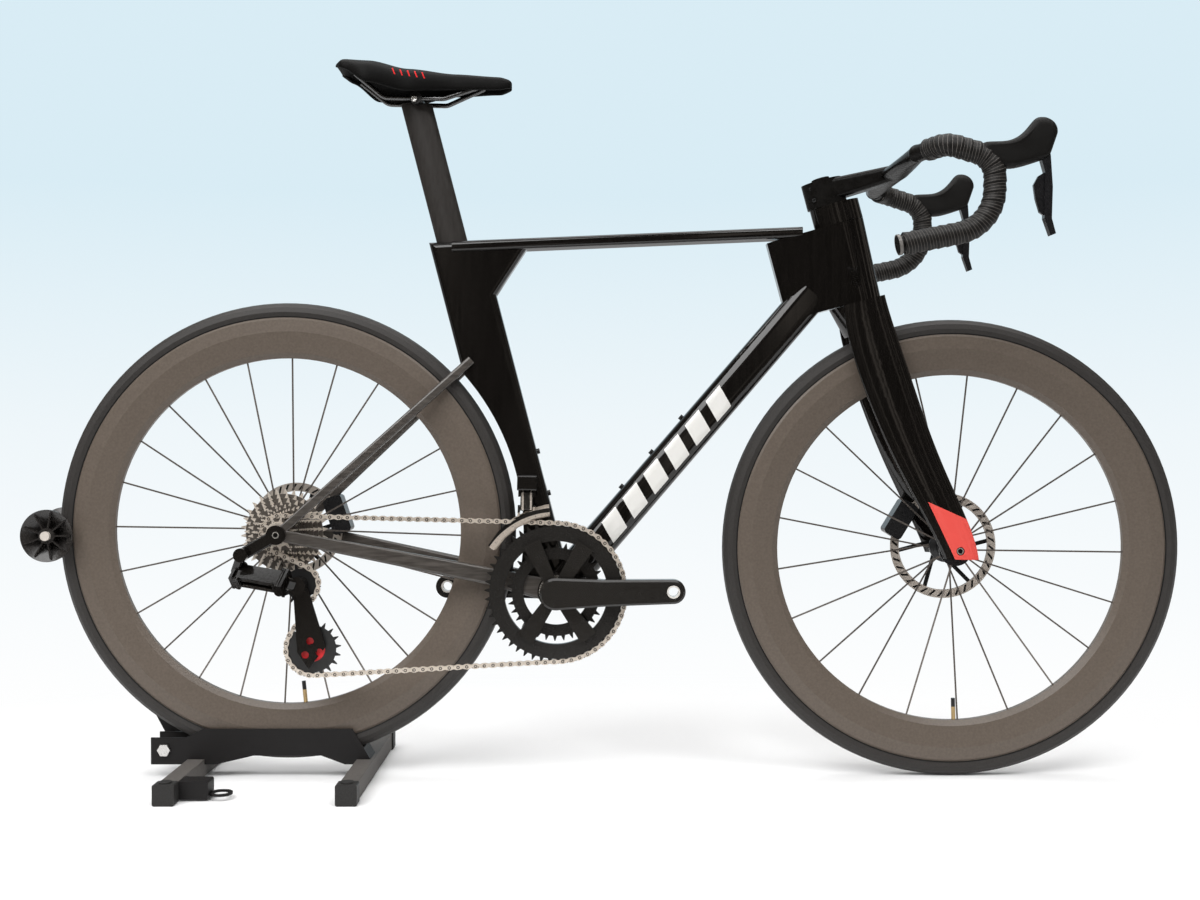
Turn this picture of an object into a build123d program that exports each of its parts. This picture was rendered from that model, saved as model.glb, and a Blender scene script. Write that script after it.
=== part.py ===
from build123d import *
import os
from math import asin, atan2, ceil, cos, degrees, hypot, pi, radians, sin, sqrt

# A road racing bicycle held by its rear wheel in a folding display stand.
# The bicycle is drawn level, with x forward from the rear axle, y to the rider's left and z up from the
# ground. It is then pitched nose down by the lift of the stand. The drive side is at negative y.

# Wheels and layout
WHEEL_RADIUS = 339.0
TYRE_TO_TYRE = 307.0
TYRE_TO_HEAD = 49.0
TYRE_TO_BRACKET = 70.0
STAND_LIFT = 24.8
TYRE_WIDTH = 28.0
TYRE_HEIGHT = 22.0
RIM_DEPTH = 60.0
RIM_WIDTH = 30.0
RIM_NOSE_WIDTH = 8.0
SPOKE_WIDTH = 2.4
SPOKE_THICKNESS = 1.2
SPOKE_SEAT = 2.0
FRONT_SPOKES = 21
REAR_SPOKES = 24
FRONT_AXLE_SPACING = 100.0
REAR_AXLE_SPACING = 142.0
AXLE_RADIUS = 6.0
RUNNING_GAP = 0.05
FRONT_ROTOR_RADIUS = 80.0
REAR_ROTOR_RADIUS = 70.0
ROTOR_THICKNESS = 1.8
ROTOR_BAND = 13.0
FRONT_ROTOR_INSET = 10.5
REAR_ROTOR_INSET = 15.3
HUB_FLANGE_RADIUS = 24.0
VALVE_RADIUS = 3.0
VALVE_LENGTH = 32.0
FRONT_VALVE_ANGLE = -87.0
REAR_VALVE_ANGLE = -83.0
SPOKE_LEAN = 14.0
FLANGE_THICKNESS = 4.0
FRONT_LEFT_FLANGE = 26.0
FRONT_RIGHT_FLANGE = -35.0
REAR_LEFT_FLANGE = 33.0
REAR_RIGHT_FLANGE = -17.0
ROTOR_ARMS = 6
CALIPER_WIDTH = 30.0
CALIPER_LENGTH = 58.0
FRONT_CALIPER_ANGLE = 150.0
REAR_CALIPER_ANGLE = 20.0

# Frame
BB_DROP = 76.0
BB_SHELL_WIDTH = 86.5
BB_SHELL_RADIUS = 27.0
BB_BORE_RADIUS = 20.5
HEAD_ANGLE = 73.5
FORK_RAKE = 45.0
SEAT_ANGLE = 74.05
SEAT_SETBACK = 20.0
SEAT_TUBE_LENGTH = 539.0
SEAT_TUBE_WIDTH = 34.0
SEAT_TUBE_FRONT = 42.0
SEAT_TUBE_REAR = 35.0
TYRE_CUTOUT_GAP = 12.0
GUSSET_HEIGHT = 100.0
GUSSET_REACH = 73.0
TOP_TUBE_SLOPE = 3.8
TOP_TUBE_THICKNESS = 16.0
TOP_TUBE_WIDTH = 42.0
HEAD_WIDTH = 50.0
HEAD_REAR = 102.0
HEAD_REAR_WIDTH = 34.0
HEAD_NOSE = 41.5
HEAD_NOSE_TOP = 46.5
HEAD_LENGTH = 119.0
HEAD_BORE_RADIUS = 20.9
BEARING_HEIGHT = 7.0
DOWN_TUBE_DEPTH = 51.0
DOWN_TUBE_WIDTH_TOP = 40.0
DOWN_TUBE_WIDTH_BOTTOM = 60.0
DOWN_TUBE_HEAD_DROP = 30.0
CHAINSTAY_HEIGHT = 20.0
CHAINSTAY_WIDTH = 12.0
SEATSTAY_HEIGHT = 13.0
SEATSTAY_WIDTH = 10.0
SEATSTAY_JOINT = 355.0
DROPOUT_RADIUS = 14.0
DROPOUT_THICKNESS = 7.0

STAY_BEND_Y = 30.0
HANGER_THICKNESS = 6.0
CUP_DEPTH = 9.0
CUP_FLANGE = 1.5
BOTTLE_BOLTS_SEAT = [200.0, 136.0]
BOTTLE_BOLTS_DOWN = [0.29, 0.41, 0.53]
BOLT_SHANK = 12.0
BOLT_HEAD = 4.0
BOLT_RADIUS = 4.0

# Seat
POST_DEPTH = 45.0
POST_WIDTH = 24.0
POST_SHIFT = -2.0
POST_INSERTION = 110.0
SADDLE_LENGTH = 260.0
SADDLE_WIDTH = 132.0
SADDLE_NOSE_WIDTH = 36.0
SADDLE_HEIGHT = 1031.0
SADDLE_SETBACK = 120.0
SADDLE_EDGE = 7.0
SADDLE_PADDING = 15.0
RAIL_RADIUS = 3.5
RAIL_HALF_SPACING = 22.0
RAIL_DROP = 50.0
CLAMP_RADIUS = 9.0
CLAMP_RISE = 4.565613

# Fork and cockpit
STEERER_RADIUS = 14.3
CROWN_LENGTH = 78.0
CROWN_SHIFT = 2.0
CROWN_DEPTH = 46.0
CROWN_WIDTH = 72.0
FORK_BLADE_WIDTH = 15.0
# Blade sections from the crown down: height over the axle, distance ahead of it, chord, share of the spread
BLADE_SECTIONS = [(WHEEL_RADIUS + 37.0, -143.0, 58.0, 0.0), (WHEEL_RADIUS - 25.0, -130.0, 72.0, 0.02),
                  (WHEEL_RADIUS - 67.0, -116.5, 75.0, 0.08), (146.0, -68.0, 69.5, 0.42),
                  (63.5, -28.5, 63.0, 0.76), (-12.0, 3.0, 51.0, 1.0)]
FORK_TYRE_GAP = 8.0
SPACER_HEIGHT = 30.0
STEM_HEIGHT = 38.0
STEM_LENGTH = 108.0
TURN_GAP = 0.4
BAR_HALF_WIDTH = 205.0
BAR_RADIUS = 11.9
TAPE_RADIUS = 15.0
BAR_REACH = 80.0
BAR_DROP = 122.0
HOOD_WIDTH = 32.0
LEVER_WIDTH = 11.0
LEVER_PIN_RADIUS = 2.5
PADDLE_THICKNESS = 5.0
SPACER_SHIFT = 9.75
WING_RISE = 51.0
WING_SPAN = 0.73
BAR_TAIL = 33.0
BAR_BENDS = [24.0, 34.0, 60.0]
STEM_CLAMP = 30.0
TAPE_START = 0.35
PLUG_THICKNESS = 4.0

# Drivetrain
CHAIN_PITCH = 12.7
ROLLER_RADIUS = 3.85
CHAIN_INNER_GAP = 2.1
PLATE_THICKNESS = 0.75
PLATE_HEIGHT = 7.8
PLATE_WAIST = 0.58
TOOTH_HEIGHT = 3.2
TOOTH_THICKNESS = 1.5
BIG_RING_TEETH = 50
SMALL_RING_TEETH = 34
CHAINLINE = 46.5
RING_SPACING = 7.5
RING_BAND = 26.0
COGS = [11, 12, 13, 14, 15, 16, 17, 19, 21, 24, 27, 30]
COG_SPACING = 3.55
SMALLEST_COG_Y = -66.0
CHAIN_COG = 2
FREEHUB_RADIUS = 17.0
CRANK_LENGTH = 170.0
CRANK_ANGLE = 2.6
CRANK_SPAN = 148.0
CRANK_THICKNESS = 16.0
SPINDLE_RADIUS = 12.0
SPINDLE_COVER = 8.0
PEDAL_HOLE_RADIUS = 7.14
UPPER_PULLEY_TEETH = 13
LOWER_PULLEY_TEETH = 19
PULLEY_SPACING = 95.4
PULLEY_PIN_RADIUS = 2.5
CAGE_GAP = 4.2
CAGE_PLATE = 2.2
CAGE_ANGLE = 11.0
LINK_LENGTH = 62.0
LINK_OFFSET = 15.0
LINK_DEPTH = 24.0
LINK_THICKNESS = 8.0
LINK_PIN_RADIUS = 2.5
LINK_SLANT = 42.0
LINK_REST = 15.0
FD_LINK_LENGTH = 22.0
FD_LINK_WIDTH = 18.0
FD_PIN_RADIUS = 2.0
FD_REST = -9.8
FD_LENGTH = 28.0
FD_CAGE_HALF = 5.7
ROLLER_GAP = 0.15
TOOTH_GAP_HALF = 3.0
CHAIN_STRAIGHT = 3.4
TOOTH_CREST_HALF = 0.6
CRANK_HUB_RADIUS = 23.0
CRANK_END_RADIUS = 17.5
CRANK_EDGE = 3.0
BAND_THICKNESS = 7.5
SPIDER_THICKNESS = 6.0
SPIDER_ANGLES = [57.0, 115.0, -125.0, -55.0]
SPIDER_HALF_ANGLE = 9.5
RING_BOLT_RADIUS = 55.0
RING_POST_RADIUS = 6.0
CAGE_SEARCH = 20.0
CAGE_WIDTH = 20.0
CAGE_FOOT_RADIUS = 21.0
CAGE_WINDOW = 5.5
CAGE_PIVOT_RADIUS = 6.0
KNUCKLE_RADIUS = 13.0
KNUCKLE_LENGTH = 22.0
EAR_THICKNESS = 4.0
B_BOSS_RADIUS = 10.0
B_BOSS_LENGTH = 12.0
GUIDE_OFFSET = (32.0, -72.0)
B_BOLT_OFFSET = (-47.0, -29.0)
LINK_DIP = 16.6
LINK_OFFSET_X = -50.0
LINK_OFFSET_Y = -84.0
LINK_OFFSET_Z = -54.0
FD_OFFSET = (-46.0, 143.0)

# Stand
LEG_SPACING = 250.0
LEG_CENTRE = -8.0
LEG_LENGTH = 346.0
LEG_SIZE = 25.0
FOOT_SIZE = 30.0
FOOT_LENGTH = 22.0
PLATE_Y = 19.0
STAND_PLATE = 3.0
STAND_TOP = 72.6
STAND_BOTTOM = 20.0
PIVOT_X = -179.7
PIVOT_Z = 41.5
PIVOT_RADIUS = 6.0
ROLLER_DROP = 4.8
ROLLER_HUB_RADIUS = 7.683197
ROLLER_DISC_RADIUS = 38.5
ROLLER_HUB_GAP = 0.35
ARM_Y = 42.0
ARM_THICKNESS = 5.0
CRADLE_ROD_RADIUS = 5.0
CRADLE_ROD_X = 95.0
SPRING_RADIUS = 7.8
SPRING_WIRE = 1.5
SPRING_TURNS = 5
FOOT_WALL = 4.0
BRACKET_IN = 37.0
BRACKET_LENGTH = 42.0
ARM_WIDTH = 22.0
ROLLER_PIN_RADIUS = 4.0
ROLLER_OUTER_Y = 36.0
ROLLER_RIBS = 9

# Derived sizes: the frame, the fork and the stand's roller keep their distance from the tyres
WHEELBASE = 2 * WHEEL_RADIUS + TYRE_TO_TYRE
RIM_RADIUS = WHEEL_RADIUS - TYRE_HEIGHT
CHAINSTAY_LENGTH = WHEEL_RADIUS + TYRE_TO_BRACKET
HEAD_BOTTOM = WHEEL_RADIUS + TYRE_TO_HEAD
HEAD_TOP = HEAD_BOTTOM + HEAD_LENGTH
WING_UP = HEAD_TOP + WING_RISE
ROLLER_X = -sqrt((WHEEL_RADIUS + ROLLER_HUB_RADIUS + ROLLER_HUB_GAP)**2 - ROLLER_DROP**2)
ROLLER_Z = WHEEL_RADIUS + STAND_LIFT - ROLLER_DROP

# Derived points of the level bicycle, as (x, z)
REAR_AXLE = (0.0, WHEEL_RADIUS)
FRONT_AXLE = (WHEELBASE, WHEEL_RADIUS)
BB = (sqrt(CHAINSTAY_LENGTH**2 - BB_DROP**2), WHEEL_RADIUS - BB_DROP)
HEAD_UP = (-cos(radians(HEAD_ANGLE)), sin(radians(HEAD_ANGLE)))
HEAD_FORE = (HEAD_UP[1], -HEAD_UP[0])
STEER_FOOT = (FRONT_AXLE[0] - FORK_RAKE * HEAD_FORE[0], FRONT_AXLE[1] - FORK_RAKE * HEAD_FORE[1])
SEAT_UP = (-cos(radians(SEAT_ANGLE)), sin(radians(SEAT_ANGLE)))
SEAT_FORE = (SEAT_UP[1], -SEAT_UP[0])
SEAT_FOOT = (BB[0] - SEAT_SETBACK, BB[1])
# The post is cut so that its clamp carries the rails at the saddle's height
POST_TOP = (SADDLE_HEIGHT - RAIL_DROP - CLAMP_RISE - SEAT_FOOT[1]) / SEAT_UP[1]
RIM_INNER = RIM_RADIUS - RIM_DEPTH
COG_Y = SMALLEST_COG_Y + COG_SPACING * CHAIN_COG
GUIDE = (REAR_AXLE[0] + GUIDE_OFFSET[0], REAR_AXLE[1] + GUIDE_OFFSET[1])
B_BOLT = (REAR_AXLE[0] + B_BOLT_OFFSET[0], REAR_AXLE[1] + B_BOLT_OFFSET[1])
FD_AT = (BB[0] + FD_OFFSET[0], BB[1] + FD_OFFSET[1])
FD_PIVOT_Y = -CHAINLINE - FD_LINK_LENGTH * sin(radians(FD_REST))

# Slanted pins of the rear derailleur: the cage moves inward and down as the links swing
LINK_NEUTRAL = Vector(cos(radians(LINK_DIP)), 0, -sin(radians(LINK_DIP)))
LINK_AXIS = LINK_NEUTRAL.cross(Vector(0, cos(radians(LINK_SLANT)), -sin(radians(LINK_SLANT)))).normalized()
LINK_ALONG = LINK_NEUTRAL.rotate(Axis((0, 0, 0), tuple(LINK_AXIS)), -LINK_REST)
LINK_SIDE = LINK_AXIS.cross(LINK_ALONG)
LINK_ORIGIN = Vector(LINK_OFFSET_X, LINK_OFFSET_Y, REAR_AXLE[1] + LINK_OFFSET_Z)

# Placing of the level bicycle on the stand: the front tyre stays on the floor, the rear axle is lifted
PITCH = degrees(asin(STAND_LIFT / WHEELBASE))
FRONT_END = WHEELBASE * cos(radians(PITCH)) + WHEEL_RADIUS
REAR_END = ROLLER_X - ROLLER_DISC_RADIUS
X_CENTRE = (FRONT_END + REAR_END) / 2
AXLE_PLACE = (-X_CENTRE, 0, WHEEL_RADIUS + STAND_LIFT)
ON_STAND = Pos(*AXLE_PLACE) * Rot(0, PITCH, 0) * Pos(0, 0, -WHEEL_RADIUS)
FLOOR = Pos(-X_CENTRE, 0, 0)


def head_point(fore, up):
    return (STEER_FOOT[0] + fore * HEAD_FORE[0] + up * HEAD_UP[0],
            STEER_FOOT[1] + fore * HEAD_FORE[1] + up * HEAD_UP[1])


def seat_point(fore, up):
    return (SEAT_FOOT[0] + fore * SEAT_FORE[0] + up * SEAT_UP[0],
            SEAT_FOOT[1] + fore * SEAT_FORE[1] + up * SEAT_UP[1])


def polar(centre, radius, angle):
    return (centre[0] + radius * cos(angle), centre[1] + radius * sin(angle))


def plate(points, y_low, y_high):
    face = Plane.XZ * make_face(Polyline(*points, close=True))
    return Pos(0, y_high, 0) * extrude(face, y_high - y_low)


def rod_y(point, radius, y_low, y_high):
    return Pos(point[0], (y_low + y_high) / 2, point[1]) * Rot(90, 0, 0) * Cylinder(radius, y_high - y_low)


def rod(start, end, radius):
    a, b = Vector(*start), Vector(*end)
    return Plane(origin=(a + b) * 0.5, z_dir=b - a) * Cylinder(radius, (b - a).length)


def ring_y(point, profile):
    """Solid of revolution about a line along y; the profile lists (radius, y)."""
    return Pos(point[0], 0, point[1]) * revolve(make_face(Polyline(*profile, close=True)), Axis.Y)


def bar_between(start, end, height, width, end_height=None, end_width=None):
    """A stay: a lofted bar of rounded section from one point to another."""
    a, b = Vector(*start), Vector(*end)
    side = Vector(0, 1, 0)
    sections = []
    for point, h, w in ((a, height, width), (b, end_height or height, end_width or width)):
        plane = Plane(origin=point, x_dir=side, z_dir=b - a)
        sections.append(plane * RectangleRounded(w, h, min(h, w) * 0.4))
    return loft(sections)


def fuse(first, *others):
    result = first
    for other in others:
        result = result + other
    return result


def mirror_y(shape):
    return mirror(shape, about=Plane.XZ)


# Steering frame: x along the fore direction, z up the steerer, at the foot of the steering axis
STEER = Plane(origin=(STEER_FOOT[0], 0, STEER_FOOT[1]), x_dir=(HEAD_FORE[0], 0, HEAD_FORE[1]),
              z_dir=(HEAD_UP[0], 0, HEAD_UP[1]))


def steer_column(face, low, high):
    return STEER * (Pos(0, 0, low) * extrude(face, high - low))


def nose_face(half_length, half_width):
    return Ellipse(half_length, half_width) & Pos(half_length, 0) * Rectangle(2 * half_length, 4 * half_width)


def down_tube_ends():
    lower = (BB[0] + DOWN_TUBE_DEPTH * 0.2, BB[1] + DOWN_TUBE_DEPTH * 0.2)
    return lower, head_point(-HEAD_REAR * 0.55, HEAD_BOTTOM + DOWN_TUBE_HEAD_DROP)


# Frame: seat tube with tyre cut-out and gusset, flat top tube, deep head, down tube and bracket shell
def make_main_frame():
    front, rear, top = SEAT_TUBE_FRONT, SEAT_TUBE_REAR, SEAT_TUBE_LENGTH
    slope = radians(TOP_TUBE_SLOPE)
    top_rear = seat_point(-rear, top)

    def under_top_tube(fore):
        x = seat_point(fore, top)[0]
        return (x, top_rear[1] + (x - top_rear[0]) * sin(slope) / cos(slope) - TOP_TUBE_THICKNESS)

    top_edge = (under_top_tube(front + GUSSET_REACH)[0],
                under_top_tube(front + GUSSET_REACH)[1] + TOP_TUBE_THICKNESS)
    outline = [top_rear, top_edge, under_top_tube(front + GUSSET_REACH),
               seat_point(front, top - GUSSET_HEIGHT), seat_point(front, 0), seat_point(-rear, 0)]
    half = SEAT_TUBE_WIDTH / 2
    seat_tube = plate(outline, -half, half)
    rims = [e for e in seat_tube.edges() if abs(abs(e.center().Y) - half) < 0.01]
    seat_tube = fillet(rims, half * 0.55)
    seat_tube -= rod_y(REAR_AXLE, WHEEL_RADIUS + TYRE_CUTOUT_GAP, -half - 1, half + 1)

    head_rear_top = head_point(-HEAD_REAR, HEAD_TOP)
    tube_run = head_rear_top[0] - top_rear[0] + DOWN_TUBE_DEPTH
    lift = tube_run * sin(slope) / cos(slope)
    t = TOP_TUBE_THICKNESS
    start_x = top_rear[0] + rear
    start_lift = rear * sin(slope) / cos(slope)
    top_tube = plate([(start_x, top_rear[1] + start_lift), (top_rear[0] + tube_run, top_rear[1] + lift),
                      (top_rear[0] + tube_run, top_rear[1] + lift - t),
                      (start_x, top_rear[1] + start_lift - t)],
                     -TOP_TUBE_WIDTH / 2, TOP_TUBE_WIDTH / 2)
    top_tube = fillet(top_tube.edges().filter_by(lambda e: abs(abs(e.center().Y) - TOP_TUBE_WIDTH / 2) < 0.01
                                                 and e.length > t * 2), t * 0.4)

    half_rear, half_front = HEAD_REAR_WIDTH / 2, HEAD_WIDTH / 2
    head_face = make_face(Polyline((0, -half_front), (0, half_front), (-HEAD_REAR + half_rear, half_rear),
                                   (-HEAD_REAR, half_rear * 0.5), (-HEAD_REAR, -half_rear * 0.5),
                                   (-HEAD_REAR + half_rear, -half_rear), close=True))
    head = steer_column(head_face, HEAD_BOTTOM, HEAD_TOP)

    lower, upper = down_tube_ends()
    down_tube = bar_between((upper[0], 0, upper[1]), (lower[0], 0, lower[1]), DOWN_TUBE_DEPTH,
                            DOWN_TUBE_WIDTH_TOP, DOWN_TUBE_DEPTH * 1.05, DOWN_TUBE_WIDTH_BOTTOM)
    shell = rod_y(BB, BB_SHELL_RADIUS, -BB_SHELL_WIDTH / 2, BB_SHELL_WIDTH / 2)

    frame = fuse(seat_tube, top_tube, head, down_tube, shell)
    frame -= rod_y(REAR_AXLE, WHEEL_RADIUS + TYRE_CUTOUT_GAP, -HEAD_WIDTH, HEAD_WIDTH)
    frame -= STEER * (Pos(0, 0, HEAD_BOTTOM - CROWN_WIDTH) *
                      Cylinder(CROWN_WIDTH * 0.68, CROWN_WIDTH,
                               align=(Align.CENTER, Align.CENTER, Align.MIN)))
    frame -= STEER * (Pos(0, 0, HEAD_BOTTOM) *
                      Cylinder(HEAD_BORE_RADIUS, HEAD_TOP, align=(Align.CENTER, Align.CENTER, Align.MIN)))
    frame -= rod_y(BB, BB_BORE_RADIUS, -BB_SHELL_WIDTH, BB_SHELL_WIDTH)
    frame -= make_seatpost(RUNNING_GAP)
    for bolt in make_bottle_bolts().solids():
        frame -= bolt
    return frame


# Nose cover: the front half of the head, a separate moulding ahead of the steerer
def make_head_nose():
    low = STEER * (Pos(0, 0, HEAD_BOTTOM) * nose_face(HEAD_NOSE, HEAD_WIDTH / 2))
    high = STEER * (Pos(0, 0, HEAD_TOP) * nose_face(HEAD_NOSE_TOP, HEAD_WIDTH / 2))
    return loft([low, high]) - STEER * Pos(0, 0, HEAD_BOTTOM) * Cylinder(
        HEAD_BORE_RADIUS, 3 * HEAD_TOP, align=(Align.CENTER, Align.CENTER, Align.CENTER))


def make_seatpost(gap=0.0):
    plane = Plane(origin=(SEAT_FOOT[0], 0, SEAT_FOOT[1]), x_dir=(SEAT_FORE[0], 0, SEAT_FORE[1]),
                  z_dir=(SEAT_UP[0], 0, SEAT_UP[1]))
    section = Ellipse(POST_DEPTH / 2 + gap, POST_WIDTH / 2 + gap)
    low = SEAT_TUBE_LENGTH - POST_INSERTION - gap
    post = plane * (Pos(POST_SHIFT, 0, low) * extrude(section, POST_TOP + POST_DEPTH - low))
    x, z = seat_point(0, POST_TOP)
    return post - Pos(x, 0, z + POST_DEPTH) * Box(4 * POST_DEPTH, 2 * POST_WIDTH, 2 * POST_DEPTH)


# Rear triangle: on each side a dropout with its chainstay and seatstay, bonded to the main frame
def make_rear_triangle():
    inner = REAR_AXLE_SPACING / 2
    middle = inner + DROPOUT_THICKNESS / 2
    bend = (BB[0] - CHAIN_PITCH * 8, BB[1] + CHAINSTAY_HEIGHT)
    front = (BB[0] - BB_SHELL_RADIUS * 0.75, BB[1] + CHAINSTAY_HEIGHT * 0.15)
    dropout = rod_y(REAR_AXLE, DROPOUT_RADIUS, inner, inner + DROPOUT_THICKNESS)
    stay_rear = bar_between((0, middle, REAR_AXLE[1]), (bend[0], STAY_BEND_Y, bend[1]),
                            CHAINSTAY_HEIGHT * 0.85, DROPOUT_THICKNESS - 1,
                            CHAINSTAY_HEIGHT * 1.3, CHAINSTAY_WIDTH)
    stay_front = bar_between((bend[0] - 4, STAY_BEND_Y, bend[1] + 1), (front[0], STAY_BEND_Y, front[1]),
                             CHAINSTAY_HEIGHT * 1.25, CHAINSTAY_WIDTH - 1,
                             CHAINSTAY_HEIGHT * 1.6, CHAINSTAY_WIDTH)
    joint = seat_point(-SEAT_TUBE_REAR * 0.5, SEATSTAY_JOINT)
    side_face = SEAT_TUBE_WIDTH / 2
    seatstay = bar_between((0, middle, REAR_AXLE[1]), (joint[0], side_face, joint[1]),
                           SEATSTAY_HEIGHT, DROPOUT_THICKNESS - 1.5, SEATSTAY_HEIGHT, SEATSTAY_WIDTH)
    seatstay -= Pos(joint[0], 0, joint[1]) * Box(CHAINSTAY_LENGTH / 2, 2 * side_face, CHAINSTAY_LENGTH / 2)
    stay_front -= rod_y(BB, BB_SHELL_RADIUS, -BB_SHELL_WIDTH, BB_SHELL_WIDTH)
    clear = Pos(0, inner - DROPOUT_THICKNESS, REAR_AXLE[1]) * Box(
        3 * DROPOUT_RADIUS, 2 * DROPOUT_THICKNESS, 3 * DROPOUT_RADIUS)
    side = fuse(stay_rear - clear, seatstay - clear, dropout, stay_front)
    side -= rod_y(REAR_AXLE, AXLE_RADIUS + RUNNING_GAP, inner - 1, inner + 2 * DROPOUT_THICKNESS)
    side = side.solids().sort_by(SortBy.VOLUME)[-1]
    return Compound([side, mirror_y(side)])


def make_hanger():
    y_high = -REAR_AXLE_SPACING / 2 - DROPOUT_THICKNESS
    y_low = y_high - HANGER_THICKNESS
    arm = bar_between((0, (y_low + y_high) / 2, REAR_AXLE[1]), (B_BOLT[0], (y_low + y_high) / 2, B_BOLT[1]),
                      DROPOUT_RADIUS * 1.3, HANGER_THICKNESS)
    hanger = fuse(rod_y(REAR_AXLE, DROPOUT_RADIUS, y_low, y_high), arm,
                  rod_y(B_BOLT, DROPOUT_RADIUS * 0.7, y_low, y_high))
    return hanger - rod_y(REAR_AXLE, AXLE_RADIUS + RUNNING_GAP, y_low - 1, y_high + 1)


def make_rear_axle():
    half = REAR_AXLE_SPACING / 2 + DROPOUT_THICKNESS
    shaft = rod_y(REAR_AXLE, AXLE_RADIUS, -half - HANGER_THICKNESS, half)
    flange = rod_y(REAR_AXLE, AXLE_RADIUS * 1.5, half, half + AXLE_RADIUS / 2)
    return shaft + flange


def make_bracket_cups():
    half = BB_SHELL_WIDTH / 2
    bore = SPINDLE_RADIUS + RUNNING_GAP
    cup = ring_y(BB, [(bore, half - CUP_DEPTH), (BB_BORE_RADIUS, half - CUP_DEPTH), (BB_BORE_RADIUS, half),
                      (BB_SHELL_RADIUS - 2, half), (BB_SHELL_RADIUS - 2, half + CUP_FLANGE),
                      (bore, half + CUP_FLANGE)])
    return Compound([cup, mirror_y(cup)])


def make_headset_bearings():
    ring = Circle(HEAD_BORE_RADIUS) - Circle(STEERER_RADIUS + RUNNING_GAP)
    return Compound([steer_column(ring, HEAD_BOTTOM, HEAD_BOTTOM + BEARING_HEIGHT),
                     steer_column(ring, HEAD_TOP - BEARING_HEIGHT, HEAD_TOP)])


def make_bottle_bolts():
    """Cap screws of the bottle cage mounts: two on the seat tube, three along the top of the down tube."""
    seats = []
    for up in BOTTLE_BOLTS_SEAT:
        seats.append((seat_point(SEAT_TUBE_FRONT, up), SEAT_FORE))
    start, end = down_tube_ends()
    length = hypot(end[0] - start[0], end[1] - start[1])
    along = ((end[0] - start[0]) / length, (end[1] - start[1]) / length)
    normal = (-along[1], along[0])
    for share in BOTTLE_BOLTS_DOWN:
        depth = DOWN_TUBE_DEPTH * (1.05 - 0.05 * share) / 2
        point = (start[0] + share * length * along[0] + depth * normal[0],
                 start[1] + share * length * along[1] + depth * normal[1])
        seats.append((point, normal))
    bolts = []
    for (x, z), (out_x, out_z) in seats:
        tip = (x + BOLT_HEAD * out_x, 0, z + BOLT_HEAD * out_z)
        foot = (x - BOLT_SHANK * out_x, 0, z - BOLT_SHANK * out_z)
        bolts.append(rod((x, 0, z), tip, BOLT_RADIUS) + rod(foot, (x, 0, z), BOLT_RADIUS * 0.6))
    return Compound(bolts)


# Saddle: padded cover over its shell, two rails, and the clamp that holds the rails on the post
def saddle_section(x, width, top, bottom):
    half, inner = width / 2, width / 2 - SADDLE_EDGE
    crown = ThreePointArc((-half, bottom), (0, top), (half, bottom))
    hollow = ThreePointArc((inner, bottom), (0, top - SADDLE_PADDING), (-inner, bottom))
    edges = [crown, Line((half, bottom), (inner, bottom)), hollow, Line((-inner, bottom), (-half, bottom))]
    return Plane(origin=(x, 0, 0), x_dir=(0, 1, 0), z_dir=(1, 0, 0)) * make_face(edges)


def make_saddle_cover():
    rear = seat_point(0, POST_TOP)[0] - SADDLE_SETBACK
    top = SADDLE_HEIGHT
    shape = [(0.0, 0.62, 1, -15), (0.2, 1.0, -1, -40), (0.42, 0.72, -9, -47), (0.68, 0.38, -13, -39)]
    sections = [saddle_section(rear + at * SADDLE_LENGTH, wide * SADDLE_WIDTH, top + high, top + low)
                for at, wide, high, low in shape]
    sections.append(saddle_section(rear + SADDLE_LENGTH, SADDLE_NOSE_WIDTH, top - 17, top - 34))
    cover = loft(sections)
    for rail in make_saddle_rails().solids():
        cover -= rail
    return cover.solids().sort_by(SortBy.VOLUME)[-1]


def rail_path():
    rear = seat_point(0, POST_TOP)[0] - SADDLE_SETBACK
    top, y = SADDLE_HEIGHT, RAIL_HALF_SPACING
    points = [(rear + 0.84 * SADDLE_LENGTH, y * 0.45, top - 26),
              (rear + 0.62 * SADDLE_LENGTH, y, top - RAIL_DROP),
              (rear + 0.28 * SADDLE_LENGTH, y, top - RAIL_DROP),
              (rear + 0.12 * SADDLE_LENGTH, y * 1.3, top - 18)]
    return FilletPolyline(*points, radius=18)


def make_saddle_rails(gap=0.0):
    path = rail_path()
    rail = sweep(Plane(origin=path @ 0, z_dir=path % 0) * Circle(RAIL_RADIUS + gap), path=path)
    return Compound([rail, mirror_y(rail)])


def make_saddle_clamp():
    centre = (seat_point(0, POST_TOP)[0], SADDLE_HEIGHT - RAIL_DROP)
    half = RAIL_HALF_SPACING + RAIL_RADIUS + 2
    body = rod_y(centre, CLAMP_RADIUS, -half, half)
    foot = seat_point(0, POST_TOP)
    neck_low = foot[1] - CLAMP_RADIUS
    neck = Box(CLAMP_RADIUS * 2, POST_WIDTH * 0.8, centre[1] - neck_low)
    body += Pos(foot[0], 0, (neck_low + centre[1]) / 2) * neck
    for y in (RAIL_HALF_SPACING, -RAIL_HALF_SPACING):
        body -= rod((centre[0] - 30, y, centre[1]), (centre[0] + 30, y, centre[1]), RAIL_RADIUS)
    body -= make_seatpost()
    return body.solids().sort_by(SortBy.VOLUME)[-1]


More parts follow.
